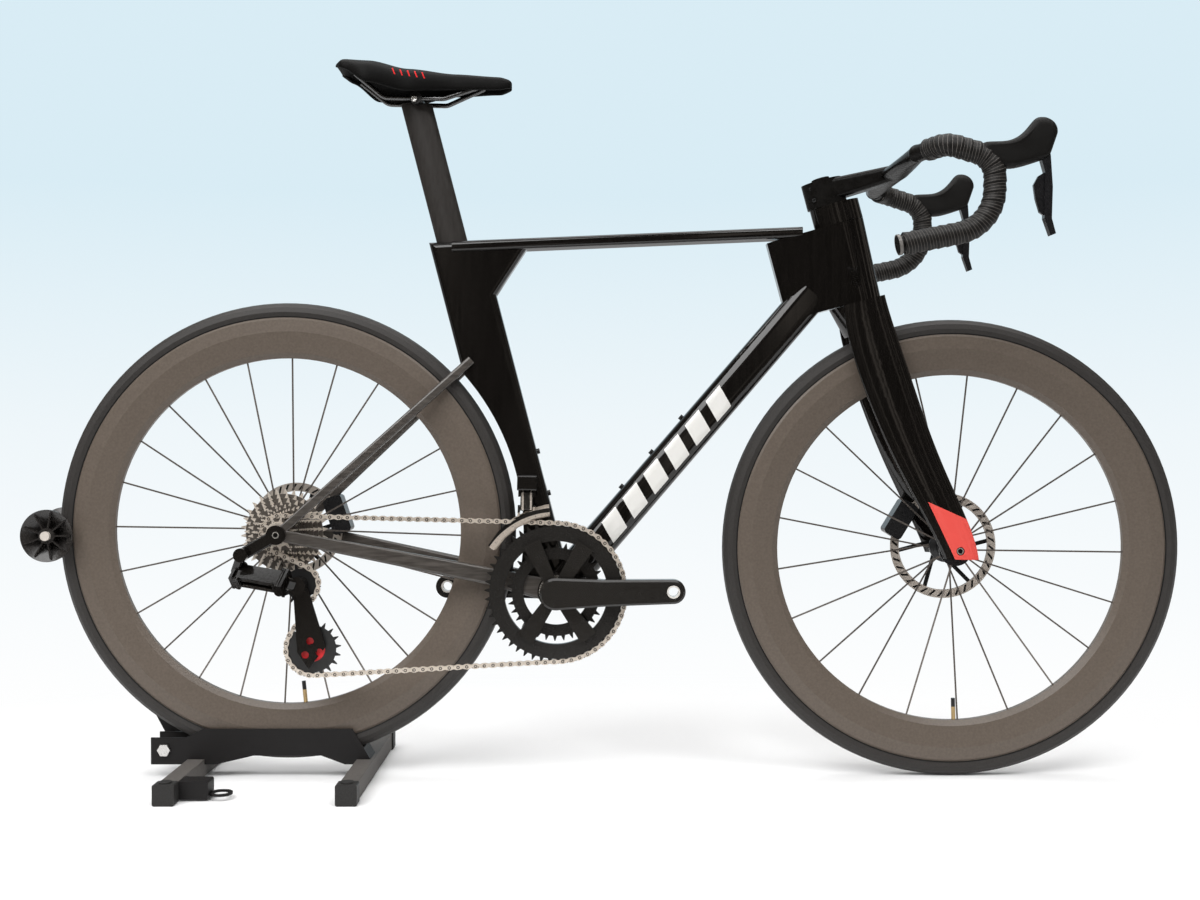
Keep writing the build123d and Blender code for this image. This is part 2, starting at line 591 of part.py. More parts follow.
# Fork: steerer, round crown and two blades that taper to the dropouts
def make_fork():
    crown_top = HEAD_BOTTOM - TURN_GAP
    steerer_top = HEAD_TOP + TURN_GAP + SPACER_HEIGHT + STEM_HEIGHT * 0.8
    steerer = steer_column(Circle(STEERER_RADIUS), crown_top - CROWN_DEPTH / 2, steerer_top)
    half = CROWN_LENGTH / 2
    crown = loft([STEER * (Pos(CROWN_SHIFT, 0, crown_top) * Ellipse(half, HEAD_WIDTH / 2)),
                  STEER * (Pos(CROWN_SHIFT * 4, 0, crown_top - CROWN_DEPTH)
                           * Ellipse(half * 0.85, CROWN_WIDTH / 2))])
    y_top = CROWN_WIDTH / 2 - FORK_BLADE_WIDTH / 2
    y_bottom = FRONT_AXLE_SPACING / 2 + FORK_BLADE_WIDTH / 2
    sections = []
    for up, ahead, chord, spread in BLADE_SECTIONS:
        y = y_top + (y_bottom - y_top) * spread
        plane = Plane(origin=(FRONT_AXLE[0] + ahead, y, FRONT_AXLE[1] + up),
                      x_dir=(1, 0, 0), z_dir=(0, 0, -1))
        sections.append(plane * Ellipse(chord / 2, FORK_BLADE_WIDTH / 2))
    blade = loft(sections)
    fork = fuse(crown, blade, mirror_y(blade), steerer)
    fork -= rod_y(FRONT_AXLE, WHEEL_RADIUS + FORK_TYRE_GAP, -TYRE_WIDTH / 2 - FORK_TYRE_GAP * 0.75,
                  TYRE_WIDTH / 2 + FORK_TYRE_GAP * 0.75)
    fork -= rod_y(FRONT_AXLE, FRONT_ROTOR_RADIUS, -FRONT_AXLE_SPACING / 2, FRONT_AXLE_SPACING / 2)
    fork -= rod_y(FRONT_AXLE, AXLE_RADIUS + RUNNING_GAP, -CROWN_WIDTH * 2, CROWN_WIDTH * 2)
    fork -= STEER * (Pos(0, 0, crown_top) * (Cylinder(CROWN_WIDTH * 2, CROWN_WIDTH,
                     align=(Align.CENTER, Align.CENTER, Align.MIN)) - Cylinder(
                     STEERER_RADIUS + 0.001, CROWN_WIDTH, align=(Align.CENTER, Align.CENTER, Align.MIN))))
    return fork.solids().sort_by(SortBy.VOLUME)[-1]


def make_headset_spacer():
    low = HEAD_TOP + TURN_GAP
    face = Pos(SPACER_SHIFT, 0) * Ellipse(HEAD_NOSE_TOP - SPACER_SHIFT, HEAD_WIDTH / 2 - 1)
    return steer_column(face - Circle(STEERER_RADIUS + RUNNING_GAP), low, low + SPACER_HEIGHT)


# Cockpit: stem, flat wing tops and drops moulded in one piece
def drop_points():
    top = head_point(STEM_LENGTH, WING_UP)
    y = BAR_HALF_WIDTH
    return [(top[0], y * WING_SPAN, top[1]), (top[0] + BAR_REACH * 0.35, y * 0.98, top[1] + 4),
            (top[0] + BAR_REACH + BAR_RADIUS, y, top[1] - BAR_DROP * 0.12),
            (top[0] + BAR_REACH + BAR_RADIUS, y * 1.01, top[1] - BAR_DROP * 0.87),
            (top[0] - BAR_TAIL, y * 1.03, top[1] - BAR_DROP - BAR_RADIUS)]


def drop_path(first=0.0, last=1.0):
    points = drop_points()
    a, b = Vector(*points[0]), Vector(*points[1])
    points[0] = a + (b - a) * first
    c, d = Vector(*points[-2]), Vector(*points[-1])
    points[-1] = c + (d - c) * last
    return FilletPolyline(*points, radius=BAR_BENDS)


def drop_tube(outer, inner=0.0, first=0.0, last=1.0):
    path = drop_path(first, last)
    face = Circle(outer)
    if inner:
        face -= Circle(inner)
    return sweep(Plane(origin=path @ 0, z_dir=path % 0) * face, path=path)


def make_handlebar():
    low = HEAD_TOP + TURN_GAP + SPACER_HEIGHT
    high = low + STEM_HEIGHT
    clamp = steer_column(Ellipse(STEM_CLAMP, HEAD_WIDTH * 0.44), low, high)
    sections = []
    for fore, height, width in ((4.0, STEM_HEIGHT * 0.86, 40), (STEM_LENGTH, 22, 50)):
        plane = Plane(origin=Vector(0, 0, 0), x_dir=(0, 1, 0), z_dir=(HEAD_FORE[0], 0, HEAD_FORE[1]))
        x, z = head_point(fore, high - height / 2 - (0 if fore < 5 else high - WING_UP - 11))
        sections.append(Pos(x, 0, z) * (plane * RectangleRounded(width, height, 8)))
    stem = loft(sections)
    top = drop_points()[0]
    wing = []
    for share, chord, thick in ((0.0, 50, 24), (0.55, 44, 20), (1.0, 24.5, 23.8)):
        wing.append(Plane(origin=(top[0], top[1] * share, top[2]), x_dir=(HEAD_FORE[0], 0, HEAD_FORE[1]),
                          z_dir=(0, 1, 0)) * Ellipse(chord / 2, thick / 2))
    half_wing = loft(wing)
    ball = Pos(*top) * Sphere(BAR_RADIUS + 0.7)
    drop = drop_tube(BAR_RADIUS)
    side = fuse(half_wing, ball, drop)
    bar = fuse(clamp, stem, side, mirror_y(side))
    return bar - steer_column(Circle(STEERER_RADIUS + RUNNING_GAP), low - 1, low + STEM_HEIGHT * 0.8 + 0.5)


def make_bar_tape():
    tape = drop_tube(TAPE_RADIUS, BAR_RADIUS + RUNNING_GAP, TAPE_START, 0.97)
    return Compound([tape, mirror_y(tape)])


def make_bar_plugs():
    path = drop_path()
    end, along = path @ 1, path % 1
    plug = Plane(origin=end, z_dir=along) * Cylinder(TAPE_RADIUS - 1, PLUG_THICKNESS,
                                                     align=(Align.CENTER, Align.CENTER, Align.MIN))
    return Compound([plug, mirror_y(plug)])


# Brake and shift levers: rubber-covered bodies on the drops, blades on pins, paddles behind the blades
def hood_origin():
    corner = drop_points()[2]
    return corner[0], corner[1], corner[2]


def hood_shape(points, half_width, y):
    x0, _, z0 = hood_origin()
    return plate([(x0 + x, z0 + z) for x, z in points], y - half_width, y + half_width)


def make_lever_bodies():
    x0, y0, z0 = hood_origin()
    outline = [(-20, 21), (18, 22), (34, 34), (48, 56), (64, 58), (81, 44), (77, 22), (72, 2), (56, -4),
               (16, -16), (-2, -10)]
    hood = hood_shape(outline, HOOD_WIDTH / 2, y0)
    rims = [e for e in hood.edges() if abs(abs(e.center().Y - y0) - HOOD_WIDTH / 2) < 0.01]
    hood = fillet(rims, HOOD_WIDTH * 0.2)
    hood -= drop_tube(TAPE_RADIUS + RUNNING_GAP, 0.0, TAPE_START, 0.97)
    pivot = lever_pivot()
    hood -= Pos(pivot[0] + 10, y0, pivot[1] - 6) * Box(46, LEVER_WIDTH + 1.2, 34)
    hood = hood.solids().sort_by(SortBy.VOLUME)[-1]
    hood += rod_y(pivot, LEVER_PIN_RADIUS, y0 - LEVER_WIDTH, y0 + LEVER_WIDTH)
    return Compound([mirror_y(hood), hood])


def lever_pivot():
    x0, _, z0 = hood_origin()
    return (x0 + 63, z0 + 13)


def make_brake_lever(side):
    y0 = hood_origin()[1]
    px, pz = lever_pivot()
    outline = [(-6, 5), (5, 6), (9, -8), (13, -50), (13, -92), (19, -112), (12, -115), (3, -92),
               (2, -30), (-5, -8)]
    lever = plate([(px + x, pz + z) for x, z in outline], y0 - LEVER_WIDTH / 2, y0 + LEVER_WIDTH / 2)
    lever -= rod_y((px, pz), LEVER_PIN_RADIUS + RUNNING_GAP, y0 - LEVER_WIDTH, y0 + LEVER_WIDTH)
    return lever if side > 0 else mirror_y(lever)


def make_shift_paddle(side):
    y0 = hood_origin()[1]
    px, pz = lever_pivot()
    outline = [(1.97, -31), (2.89, -88), (-3, -84), (-9, -66), (-12, -48), (-6, -36)]
    paddle = plate([(px + x, pz + z) for x, z in outline],
                   y0 - PADDLE_THICKNESS / 2, y0 + PADDLE_THICKNESS / 2)
    return paddle if side > 0 else mirror_y(paddle)


# Wheels: tyre, deep rim with valve, bladed spokes, hub and brake rotor
def make_tyre(axle):
    half, seat = TYRE_WIDTH / 2, RIM_RADIUS
    middle = WHEEL_RADIUS - half
    arc = [(middle + half * cos(radians(a)), half * sin(radians(a))) for a in range(-90, 91, 30)]
    return ring_y(axle, [(seat, -half * 0.82)] + arc + [(seat, half * 0.82)])


def make_rim(axle, valve_angle):
    half = RIM_WIDTH / 2
    outline = [(RIM_RADIUS, -TYRE_WIDTH * 0.41), (RIM_RADIUS - 3, -half * 0.92),
               (RIM_RADIUS - RIM_DEPTH * 0.35, -half),
               (RIM_INNER + 8, -half * 0.62), (RIM_INNER, -RIM_NOSE_WIDTH / 2)]
    rim = ring_y(axle, outline + [(r, -y) for r, y in reversed(outline)])
    foot = polar(axle, RIM_INNER + 1, valve_angle)
    tip = polar(axle, RIM_INNER - VALVE_LENGTH, valve_angle)
    valve = rod((foot[0], 0, foot[1]), (tip[0], 0, tip[1]), VALVE_RADIUS) - rim
    return Compound([rim, valve.solids().sort_by(SortBy.VOLUME)[-1]])


def make_spokes(axle, count, two_side, one_side, start_angle):
    """Two spokes on one flange for each spoke on the other, leaning tangentially on the busy side."""
    spokes = []
    step = 2 * pi / count
    for k in range(count):
        angle = start_angle + k * step
        flange_y = one_side if k % 3 == 0 else two_side
        lean = 0.0 if k % 3 == 0 else (SPOKE_LEAN if k % 3 == 1 else -SPOKE_LEAN)
        a = polar(axle, HUB_FLANGE_RADIUS - SPOKE_SEAT, angle + radians(lean))
        b = polar(axle, RIM_INNER + SPOKE_SEAT, angle)
        start, end = Vector(a[0], flange_y, a[1]), Vector(b[0], 0, b[1])
        plane = Plane(origin=(start + end) * 0.5, x_dir=Vector(0, 1, 0).cross(end - start), z_dir=end - start)
        spokes.append(plane * Box(SPOKE_WIDTH, SPOKE_THICKNESS, (end - start).length))
    return Compound(spokes)


def hub_profile(left, right, left_flange, right_flange, barrel):
    bore, flange, web = AXLE_RADIUS + RUNNING_GAP, HUB_FLANGE_RADIUS, FLANGE_THICKNESS / 2
    return [(bore, right), (barrel * 0.8, right), (barrel * 0.8, right_flange - web),
            (flange, right_flange - web),
            (flange, right_flange + web), (barrel, right_flange + 3 * web), (barrel, left_flange - 3 * web),
            (flange, left_flange - web), (flange, left_flange + web), (barrel * 0.8, left_flange + web),
            (barrel * 0.8, left), (bore, left)]


def make_front_hub():
    half = FRONT_AXLE_SPACING / 2 - TURN_GAP
    return ring_y(FRONT_AXLE, hub_profile(half, -half, FRONT_LEFT_FLANGE, FRONT_RIGHT_FLANGE, 15.0))


def make_rear_hub():
    half = REAR_AXLE_SPACING / 2 - TURN_GAP
    return ring_y(REAR_AXLE, hub_profile(half, REAR_RIGHT_FLANGE - 2 * FLANGE_THICKNESS, REAR_LEFT_FLANGE,
                                         REAR_RIGHT_FLANGE, 17.0))


def make_rotor(axle, radius, y, bore):
    band_inner = radius - ROTOR_BAND
    low, high = y - ROTOR_THICKNESS / 2, y + ROTOR_THICKNESS / 2
    rotor = ring_y(axle, [(band_inner, low), (radius, low), (radius, high), (band_inner, high)])
    rotor += ring_y(axle, [(bore, low), (bore + 10, low), (bore + 10, high), (bore, high)])
    for k in range(ROTOR_ARMS):
        angle = 2 * pi * k / ROTOR_ARMS
        inner = polar(axle, bore + 6, angle - radians(18))
        outer = polar(axle, band_inner + 4, angle + radians(8))
        middle = ((inner[0] + outer[0]) / 2, (inner[1] + outer[1]) / 2)
        length = hypot(outer[0] - inner[0], outer[1] - inner[1])
        turn = degrees(atan2(outer[1] - inner[1], outer[0] - inner[0]))
        rotor += Pos(middle[0], y, middle[1]) * Rot(0, -turn, 0) * Box(length, ROTOR_THICKNESS, 6)
    return rotor


def make_caliper(axle, rotor_radius, rotor_y, angle, mounting):
    """A brake caliper over the rim of a rotor, at an angle round its axle, seated on its mounting."""
    inner, outer = rotor_radius - ROTOR_BAND - 4, rotor_radius + 12
    body = Box(outer - inner, CALIPER_WIDTH, CALIPER_LENGTH)
    body = fillet(body.edges().filter_by(Axis.Y), 6)
    body -= Pos(-12, 0, 0) * Box(outer - inner, ROTOR_THICKNESS + 2.4, CALIPER_LENGTH + 1)
    centre = polar(axle, (inner + outer) / 2, radians(angle))
    placed = Pos(centre[0], rotor_y, centre[1]) * Rot(0, -angle, 0) * body
    for solid in mounting.solids():
        placed -= solid
    return placed.solids().sort_by(SortBy.VOLUME)[-1]


def make_front_axle():
    half = FRONT_AXLE_SPACING / 2 + FORK_BLADE_WIDTH * 0.86
    return rod_y(FRONT_AXLE, AXLE_RADIUS, -half, half)


# Chain drive. The chain runs over the big ring, back under the lower pulley, up in front of the guide
# pulley and round the rear of its cog. The cage swings until the loop closes on a whole number of links.
def pitch_radius(teeth):
    return CHAIN_PITCH / (2 * sin(pi / teeth))


def lower_pulley_centre(cage_angle):
    return (GUIDE[0] + PULLEY_SPACING * sin(cage_angle), GUIDE[1] - PULLEY_SPACING * cos(cage_angle))


def chain_segments(cage_angle):
    """Arcs and straight runs in order of travel; each has its length counted in chain pitches."""
    circles = [(BB, BIG_RING_TEETH, -CHAINLINE, 1),
               (lower_pulley_centre(cage_angle), LOWER_PULLEY_TEETH, COG_Y, 1),
               (GUIDE, UPPER_PULLEY_TEETH, COG_Y, -1), (REAR_AXLE, COGS[CHAIN_COG], COG_Y, 1)]
    arrive, leave, runs = {}, {}, {}
    for i, (centre, teeth, y, sense) in enumerate(circles):
        j = (i + 1) % len(circles)
        next_centre, next_teeth, next_y, next_sense = circles[j]
        dx, dz = next_centre[0] - centre[0], next_centre[1] - centre[1]
        span = hypot(dx, dz)
        tilt = asin((sense * pitch_radius(teeth) - next_sense * pitch_radius(next_teeth)) / span)
        heading = atan2(dz, dx) - tilt
        leave[i], arrive[j] = heading + sense * pi / 2, heading + next_sense * pi / 2
        runs[i] = hypot(span * cos(tilt), next_y - y) / CHAIN_PITCH
    segments = []
    for i, (centre, teeth, y, sense) in enumerate(circles):
        sweep_angle = (sense * (arrive[i] - leave[i])) % (2 * pi)
        segments.append(("arc", sweep_angle * teeth / (2 * pi), centre, teeth, y, sense, arrive[i]))
        start = (*polar(centre, pitch_radius(teeth), leave[i]), y)
        j = (i + 1) % len(circles)
        end = (*polar(circles[j][0], pitch_radius(circles[j][1]), arrive[j]), circles[j][2])
        segments.append(("run", runs[i], start, end))
    return segments


def chain_pitches(cage_angle):
    return sum(segment[1] for segment in chain_segments(cage_angle))


def solve_cage_angle():
    """The cage angle nearest to its usual one at which the loop is an even number of pitches."""
    middle = radians(CAGE_ANGLE)
    links = 2 * round(chain_pitches(middle) / 2)
    low, high = middle - radians(CAGE_SEARCH), middle + radians(CAGE_SEARCH)
    rising = chain_pitches(high) > chain_pitches(low)
    for _ in range(60):
        middle = (low + high) / 2
        if (chain_pitches(middle) < links) == rising:
            low = middle
        else:
            high = middle
    return middle, links


def chain_pins(segments, links):
    """Centres of the chain's rivets, as (x, y, z)."""
    pins, start, k = [], 0.0, 0
    for segment in segments:
        end = start + segment[1]
        while k < links and k < end - 1e-6:
            share = k - start
            if segment[0] == "arc":
                _, _, centre, teeth, y, sense, angle = segment
                x, z = polar(centre, pitch_radius(teeth), angle - sense * share * 2 * pi / teeth)
            else:
                _, length, (x1, z1, y1), (x2, z2, y2) = segment
                part = share / length
                free = max(length - 2 * CHAIN_STRAIGHT, 1e-6)
                across = min(max((share - CHAIN_STRAIGHT) / free, 0.0), 1.0)
                x, z, y = x1 + (x2 - x1) * part, z1 + (z2 - z1) * part, y1 + (y2 - y1) * across
            pins.append(Vector(x, y, z))
            k += 1
        start = end
    return pins


def mesh_phases(segments):
    """For each sprocket on the chain, the angle of one tooth gap that holds a rivet."""
    phases, start = [], 0.0
    for segment in segments:
        if segment[0] == "arc":
            _, _, _, teeth, _, sense, angle = segment
            phases.append(angle - sense * (ceil(start - 1e-6) - start) * 2 * pi / teeth)
        start += segment[1]
    return phases


def sprocket(centre, y, teeth, bore, phase, thickness=None):
    thickness = thickness or TOOTH_THICKNESS
    step = 2 * pi / teeth
    root = pitch_radius(teeth) - ROLLER_RADIUS - ROLLER_GAP
    tip = pitch_radius(teeth) + TOOTH_HEIGHT
    gap, crest = TOOTH_GAP_HALF / root, TOOTH_CREST_HALF / tip
    points = []
    for k in range(teeth):
        angle = phase + k * step
        points += [polar(centre, root, angle - gap), polar(centre, root, angle + gap),
                   polar(centre, tip, angle + step / 2 - crest), polar(centre, tip, angle + step / 2 + crest)]
    disc = plate(points, y - thickness / 2, y + thickness / 2)
    return disc - rod_y(centre, bore, y - thickness, y + thickness)


def link_plate(y):
    half, reach = PLATE_HEIGHT / 2, CHAIN_PITCH / 2
    right = [(0, half * PLATE_WAIST), (reach - half * 0.3, half), (reach + half * 0.75, half * 0.6),
             (reach + half * 0.75, -half * 0.6), (reach - half * 0.3, -half)]
    left = [(-x, -z) for x, z in right]
    low, high = (y, y + PLATE_THICKNESS) if y > 0 else (y - PLATE_THICKNESS, y)
    return plate(right + left, low, high)


def make_chain(segments, links):
    inner_y = CHAIN_INNER_GAP / 2
    outer_y = inner_y + PLATE_THICKNESS + RUNNING_GAP
    roller = Rot(90, 0, 0) * extrude(RegularPolygon(ROLLER_RADIUS, 6), inner_y, both=True)
    inner = [link_plate(inner_y), link_plate(-inner_y), Pos(CHAIN_PITCH / 2, 0, 0) * roller,
             Pos(-CHAIN_PITCH / 2, 0, 0) * roller]
    outer = [link_plate(outer_y), link_plate(-outer_y)]
    pins = chain_pins(segments, links)
    solids = []
    for k, pin in enumerate(pins):
        following = pins[(k + 1) % links]
        along = following - pin
        place = Plane(origin=(pin + following) * 0.5, x_dir=along, z_dir=along.cross(Vector(0, 1, 0)))
        solids += [place * piece for piece in (inner if k % 2 else outer)]
    return Compound(solids)


def make_cassette(phase):
    first = SMALLEST_COG_Y - COG_SPACING / 2
    last = SMALLEST_COG_Y + COG_SPACING * (len(COGS) - 0.5)
    bore = AXLE_RADIUS + RUNNING_GAP
    body = ring_y(REAR_AXLE, [(bore, first), (FREEHUB_RADIUS, first), (FREEHUB_RADIUS, last), (bore, last)])
    cogs = [body]
    for k, teeth in enumerate(COGS):
        y = SMALLEST_COG_Y + COG_SPACING * k
        turned = phase if k == CHAIN_COG else 0.0
        cogs.append(sprocket(REAR_AXLE, y, teeth, FREEHUB_RADIUS + RUNNING_GAP / 5, turned))
    return Compound(cogs)


# Crankset: right arm with its spider and spindle, two rings, and the left arm
def crank_arm(angle, y_low, y_high):
    turn = radians(angle)
    ahead = (cos(turn), sin(turn))
    across = (-ahead[1], ahead[0])

    def at(along, side):
        return (BB[0] + along * ahead[0] + side * across[0], BB[1] + along * ahead[1] + side * across[1])

    wide, narrow = CRANK_HUB_RADIUS, CRANK_END_RADIUS
    arm = plate([at(0, wide), at(CRANK_LENGTH * 0.4, narrow * 1.1), at(CRANK_LENGTH, narrow),
                 at(CRANK_LENGTH, -narrow), at(CRANK_LENGTH * 0.4, -narrow * 1.1),
                 at(0, -wide)], y_low, y_high)
    arm = fuse(arm, rod_y(BB, wide, y_low, y_high), rod_y(at(CRANK_LENGTH, 0), narrow, y_low, y_high))
    outside = y_low if y_low < 0 else y_high
    arm = chamfer([e for e in arm.edges() if abs(e.center().Y - outside) < 0.01], CRANK_EDGE)
    return arm - rod_y(at(CRANK_LENGTH, 0), PEDAL_HOLE_RADIUS, y_low - 1, y_high + 1)


def make_right_crank():
    """The arm with its spider, and the spindle pressed into it."""
    outer = -CRANK_SPAN / 2
    arm = crank_arm(CRANK_ANGLE, outer, outer + CRANK_THICKNESS)
    ring_face = -CHAINLINE - BAND_THICKNESS / 2
    hub = rod_y(BB, CRANK_HUB_RADIUS, outer + CRANK_THICKNESS, -BB_SHELL_WIDTH / 2 - CUP_FLANGE - TURN_GAP)
    crank = arm + hub
    reach = pitch_radius(BIG_RING_TEETH) - RING_BAND + 7
    near, lead = CRANK_HUB_RADIUS * 0.8, radians(SPIDER_HALF_ANGLE)
    for angle in SPIDER_ANGLES:
        turn = radians(angle + CRANK_ANGLE)
        outline = [polar(BB, near, turn + lead * 3), polar(BB, near, turn - lead * 3),
                   polar(BB, reach, turn - lead), polar(BB, reach, turn + lead)]
        crank += plate(outline, ring_face - SPIDER_THICKNESS, ring_face)
    crank -= rod_y(BB, SPINDLE_RADIUS + RUNNING_GAP / 5, outer + SPINDLE_COVER, 0)
    spindle = rod_y(BB, SPINDLE_RADIUS, outer + SPINDLE_COVER, CRANK_SPAN / 2 - CRANK_THICKNESS / 2)
    return Compound([crank.solids().sort_by(SortBy.VOLUME)[-1], spindle])


def make_left_crank():
    outer = CRANK_SPAN / 2
    arm = crank_arm(CRANK_ANGLE + 180, outer - CRANK_THICKNESS, outer)
    arm += rod_y(BB, CRANK_HUB_RADIUS, BB_SHELL_WIDTH / 2 + CUP_FLANGE + TURN_GAP, outer - CRANK_THICKNESS)
    return arm - rod_y(BB, SPINDLE_RADIUS + RUNNING_GAP / 5, 0, outer - CRANK_THICKNESS / 2)


def make_big_ring(phase):
    pitch = pitch_radius(BIG_RING_TEETH)
    inner = pitch - RING_BAND
    ring = sprocket(BB, -CHAINLINE, BIG_RING_TEETH, inner, phase)
    low, high = -CHAINLINE - BAND_THICKNESS / 2, -CHAINLINE + BAND_THICKNESS / 2
    edge = pitch - PLATE_HEIGHT / 2 - 0.7
    return ring + ring_y(BB, [(inner, low), (edge, low), (edge, high), (inner, high)])


def make_small_ring():
    """The inner ring, held off the spider by four posts."""
    y = -CHAINLINE + RING_SPACING
    ring = sprocket(BB, y, SMALL_RING_TEETH, RING_BOLT_RADIUS - 7, 0.0)
    for angle in SPIDER_ANGLES:
        foot = polar(BB, RING_BOLT_RADIUS, radians(angle + CRANK_ANGLE))
        ring += rod_y(foot, RING_POST_RADIUS, -CHAINLINE - BAND_THICKNESS / 2, y)
    return ring


# Rear derailleur: body on the hanger, two parallel links on slanted pins, knuckle, cage and two pulleys
def link_frame(origin):
    return Plane(origin=origin, x_dir=LINK_ALONG, z_dir=LINK_AXIS)


def link_ears(origin, web_side):
    """Two ears over and under the links, their pins, and the web that joins the ears."""
    z = LINK_DEPTH / 2 + TURN_GAP
    thick, width = EAR_THICKNESS, LINK_THICKNESS + 2
    ears = []
    for low in (z, -z - thick):
        face = Rot(0, 0, 90) * SlotCenterToCenter(LINK_OFFSET, width)
        ear = Pos(0, LINK_OFFSET / 2, low) * extrude(face, thick)
        ears.append(ear)
    pins = [Pos(0, y, 0) * Cylinder(LINK_PIN_RADIUS, 2 * z + 2 * thick) for y in (0, LINK_OFFSET)]
    start = LINK_THICKNESS / 2 + 1.2
    web = Pos(web_side * (start + EAR_THICKNESS / 2), LINK_OFFSET / 2, 0) * Box(
        EAR_THICKNESS, LINK_OFFSET + width, 2 * z + 2 * thick)
    bridge = [Pos(web_side * start / 2 * 1.3, LINK_OFFSET / 2, s * (z + thick / 2)) * Box(
        start * 1.3, LINK_OFFSET + width * 0.6, thick) for s in (1, -1)]
    return link_frame(origin) * fuse(*ears, *pins, web, *bridge)


def make_link(origin):
    face = Pos(LINK_LENGTH / 2, 0) * SlotCenterToCenter(LINK_LENGTH, LINK_THICKNESS)
    link = extrude(face, LINK_DEPTH / 2, both=True)
    for x in (0, LINK_LENGTH):
        link -= Pos(x, 0, 0) * Cylinder(LINK_PIN_RADIUS + RUNNING_GAP, LINK_DEPTH * 2)
    return link_frame(origin) * link


def link_room(origin):
    """Space in which the ends of both links turn."""
    room = [Pos(0, y, 0) * Cylinder(LINK_THICKNESS / 2 + TURN_GAP, LINK_DEPTH + 2 * TURN_GAP)
            for y in (0, LINK_OFFSET)]
    return link_frame(origin) * fuse(*room)


def make_derailleur_body(hanger):
    y_hang = -REAR_AXLE_SPACING / 2 - DROPOUT_THICKNESS - HANGER_THICKNESS
    boss = rod_y(B_BOLT, B_BOSS_RADIUS, y_hang - B_BOSS_LENGTH, y_hang)
    web = (LINK_ORIGIN - LINK_ALONG * (LINK_THICKNESS / 2 + 1.2 + EAR_THICKNESS * 0.75)
           + LINK_SIDE * (LINK_OFFSET * 0.2))
    neck = bar_between((B_BOLT[0], y_hang - B_BOSS_LENGTH / 2, B_BOLT[1]), tuple(web),
                       12, 12, 12, EAR_THICKNESS * 1.2)
    neck = neck - link_room(LINK_ORIGIN)
    body = fuse(link_ears(LINK_ORIGIN, -1), boss, neck.solids().sort_by(SortBy.VOLUME)[-1])
    return body - hanger


def make_knuckle():
    end = LINK_ORIGIN + LINK_ALONG * LINK_LENGTH
    outer = COG_Y - CAGE_GAP - CAGE_PLATE - TURN_GAP
    barrel = rod_y(GUIDE, KNUCKLE_RADIUS, outer - KNUCKLE_LENGTH, outer)
    web = (end + LINK_ALONG * (LINK_THICKNESS / 2 + 1.2 + EAR_THICKNESS * 0.6)
           + LINK_SIDE * (LINK_OFFSET * 0.5))
    neck = bar_between(tuple(web), (GUIDE[0], outer - KNUCKLE_LENGTH / 2, GUIDE[1]), 18, 14)
    neck = neck - link_room(end)
    knuckle = fuse(link_ears(end, 1), neck.solids().sort_by(SortBy.VOLUME)[-1], barrel)
    knuckle -= rod_y(GUIDE, CAGE_PIVOT_RADIUS + RUNNING_GAP, outer - KNUCKLE_LENGTH - 1, outer + 1)
    return knuckle - Pos(GUIDE[0], outer + 20, GUIDE[1]) * Box(80, 40, 80)


def make_cage(lower):
    """Outer plate that broadens to a windowed foot over the tension pulley, inner plate, pins and pivot."""
    angle = atan2(lower[1] - GUIDE[1], lower[0] - GUIDE[0])
    middle = ((GUIDE[0] + lower[0]) / 2, (GUIDE[1] + lower[1]) / 2)
    slot = (Pos(middle[0], middle[1]) * Rot(0, 0, degrees(angle))
            * SlotCenterToCenter(PULLEY_SPACING, CAGE_WIDTH))
    narrow, foot = CAGE_WIDTH / 2, CAGE_FOOT_RADIUS
    wedge = make_face(Polyline(polar(GUIDE, narrow, angle + pi / 2), polar(lower, foot, angle + pi / 2),
                               polar(lower, foot * 1.35, angle - 0.35), polar(lower, foot, angle - pi / 2),
                               polar(GUIDE, narrow, angle - pi / 2), close=True))
    plate_face = slot + wedge
    for k in range(3):
        x, z = polar(lower, CAGE_FOOT_RADIUS * 0.58, angle + pi / 3 + 2 * pi * k / 3)
        plate_face -= Pos(x, z) * Circle(CAGE_WINDOW)
    outer = Pos(0, COG_Y - CAGE_GAP, 0) * extrude(Plane.XZ * plate_face, CAGE_PLATE)
    inner = Pos(0, COG_Y + CAGE_GAP + CAGE_PLATE, 0) * extrude(Plane.XZ * slot, CAGE_PLATE)
    low, high = COG_Y - CAGE_GAP - CAGE_PLATE, COG_Y + CAGE_GAP + CAGE_PLATE
    pins = [rod_y(centre, PULLEY_PIN_RADIUS, low, high) for centre in (GUIDE, lower)]
    pivot = rod_y(GUIDE, CAGE_PIVOT_RADIUS, low - KNUCKLE_LENGTH, low)
    return fuse(outer, inner, *pins, pivot)


def make_pulley(centre, teeth, phase):
    return sprocket(centre, COG_Y, teeth, PULLEY_PIN_RADIUS + RUNNING_GAP, phase)


# Front derailleur: motor body on the seat tube, swinging link, and a cage over the big ring
def make_fd_body():
    side = -SEAT_TUBE_WIDTH / 2
    x, z = FD_AT
    box = Pos(x, FD_PIVOT_Y, z + 15.5) * Box(FD_LENGTH, 26, 22)
    box = fillet(box.edges().filter_by(Axis.X), 3)
    arm_low = FD_PIVOT_Y
    bracket = Pos(x + 6, (side + arm_low) / 2, z + 15.5) * Box(FD_LENGTH * 0.6, abs(side - arm_low), 14)
    ears = [Pos(x + s * (FD_LINK_WIDTH / 2 + 2), FD_PIVOT_Y, z) * Box(3, 8, 10) for s in (1, -1)]
    pin = Pos(x, FD_PIVOT_Y, z) * Rot(0, 90, 0) * Cylinder(FD_PIN_RADIUS, FD_LINK_WIDTH + 6)
    return fuse(box, bracket, *ears, pin)


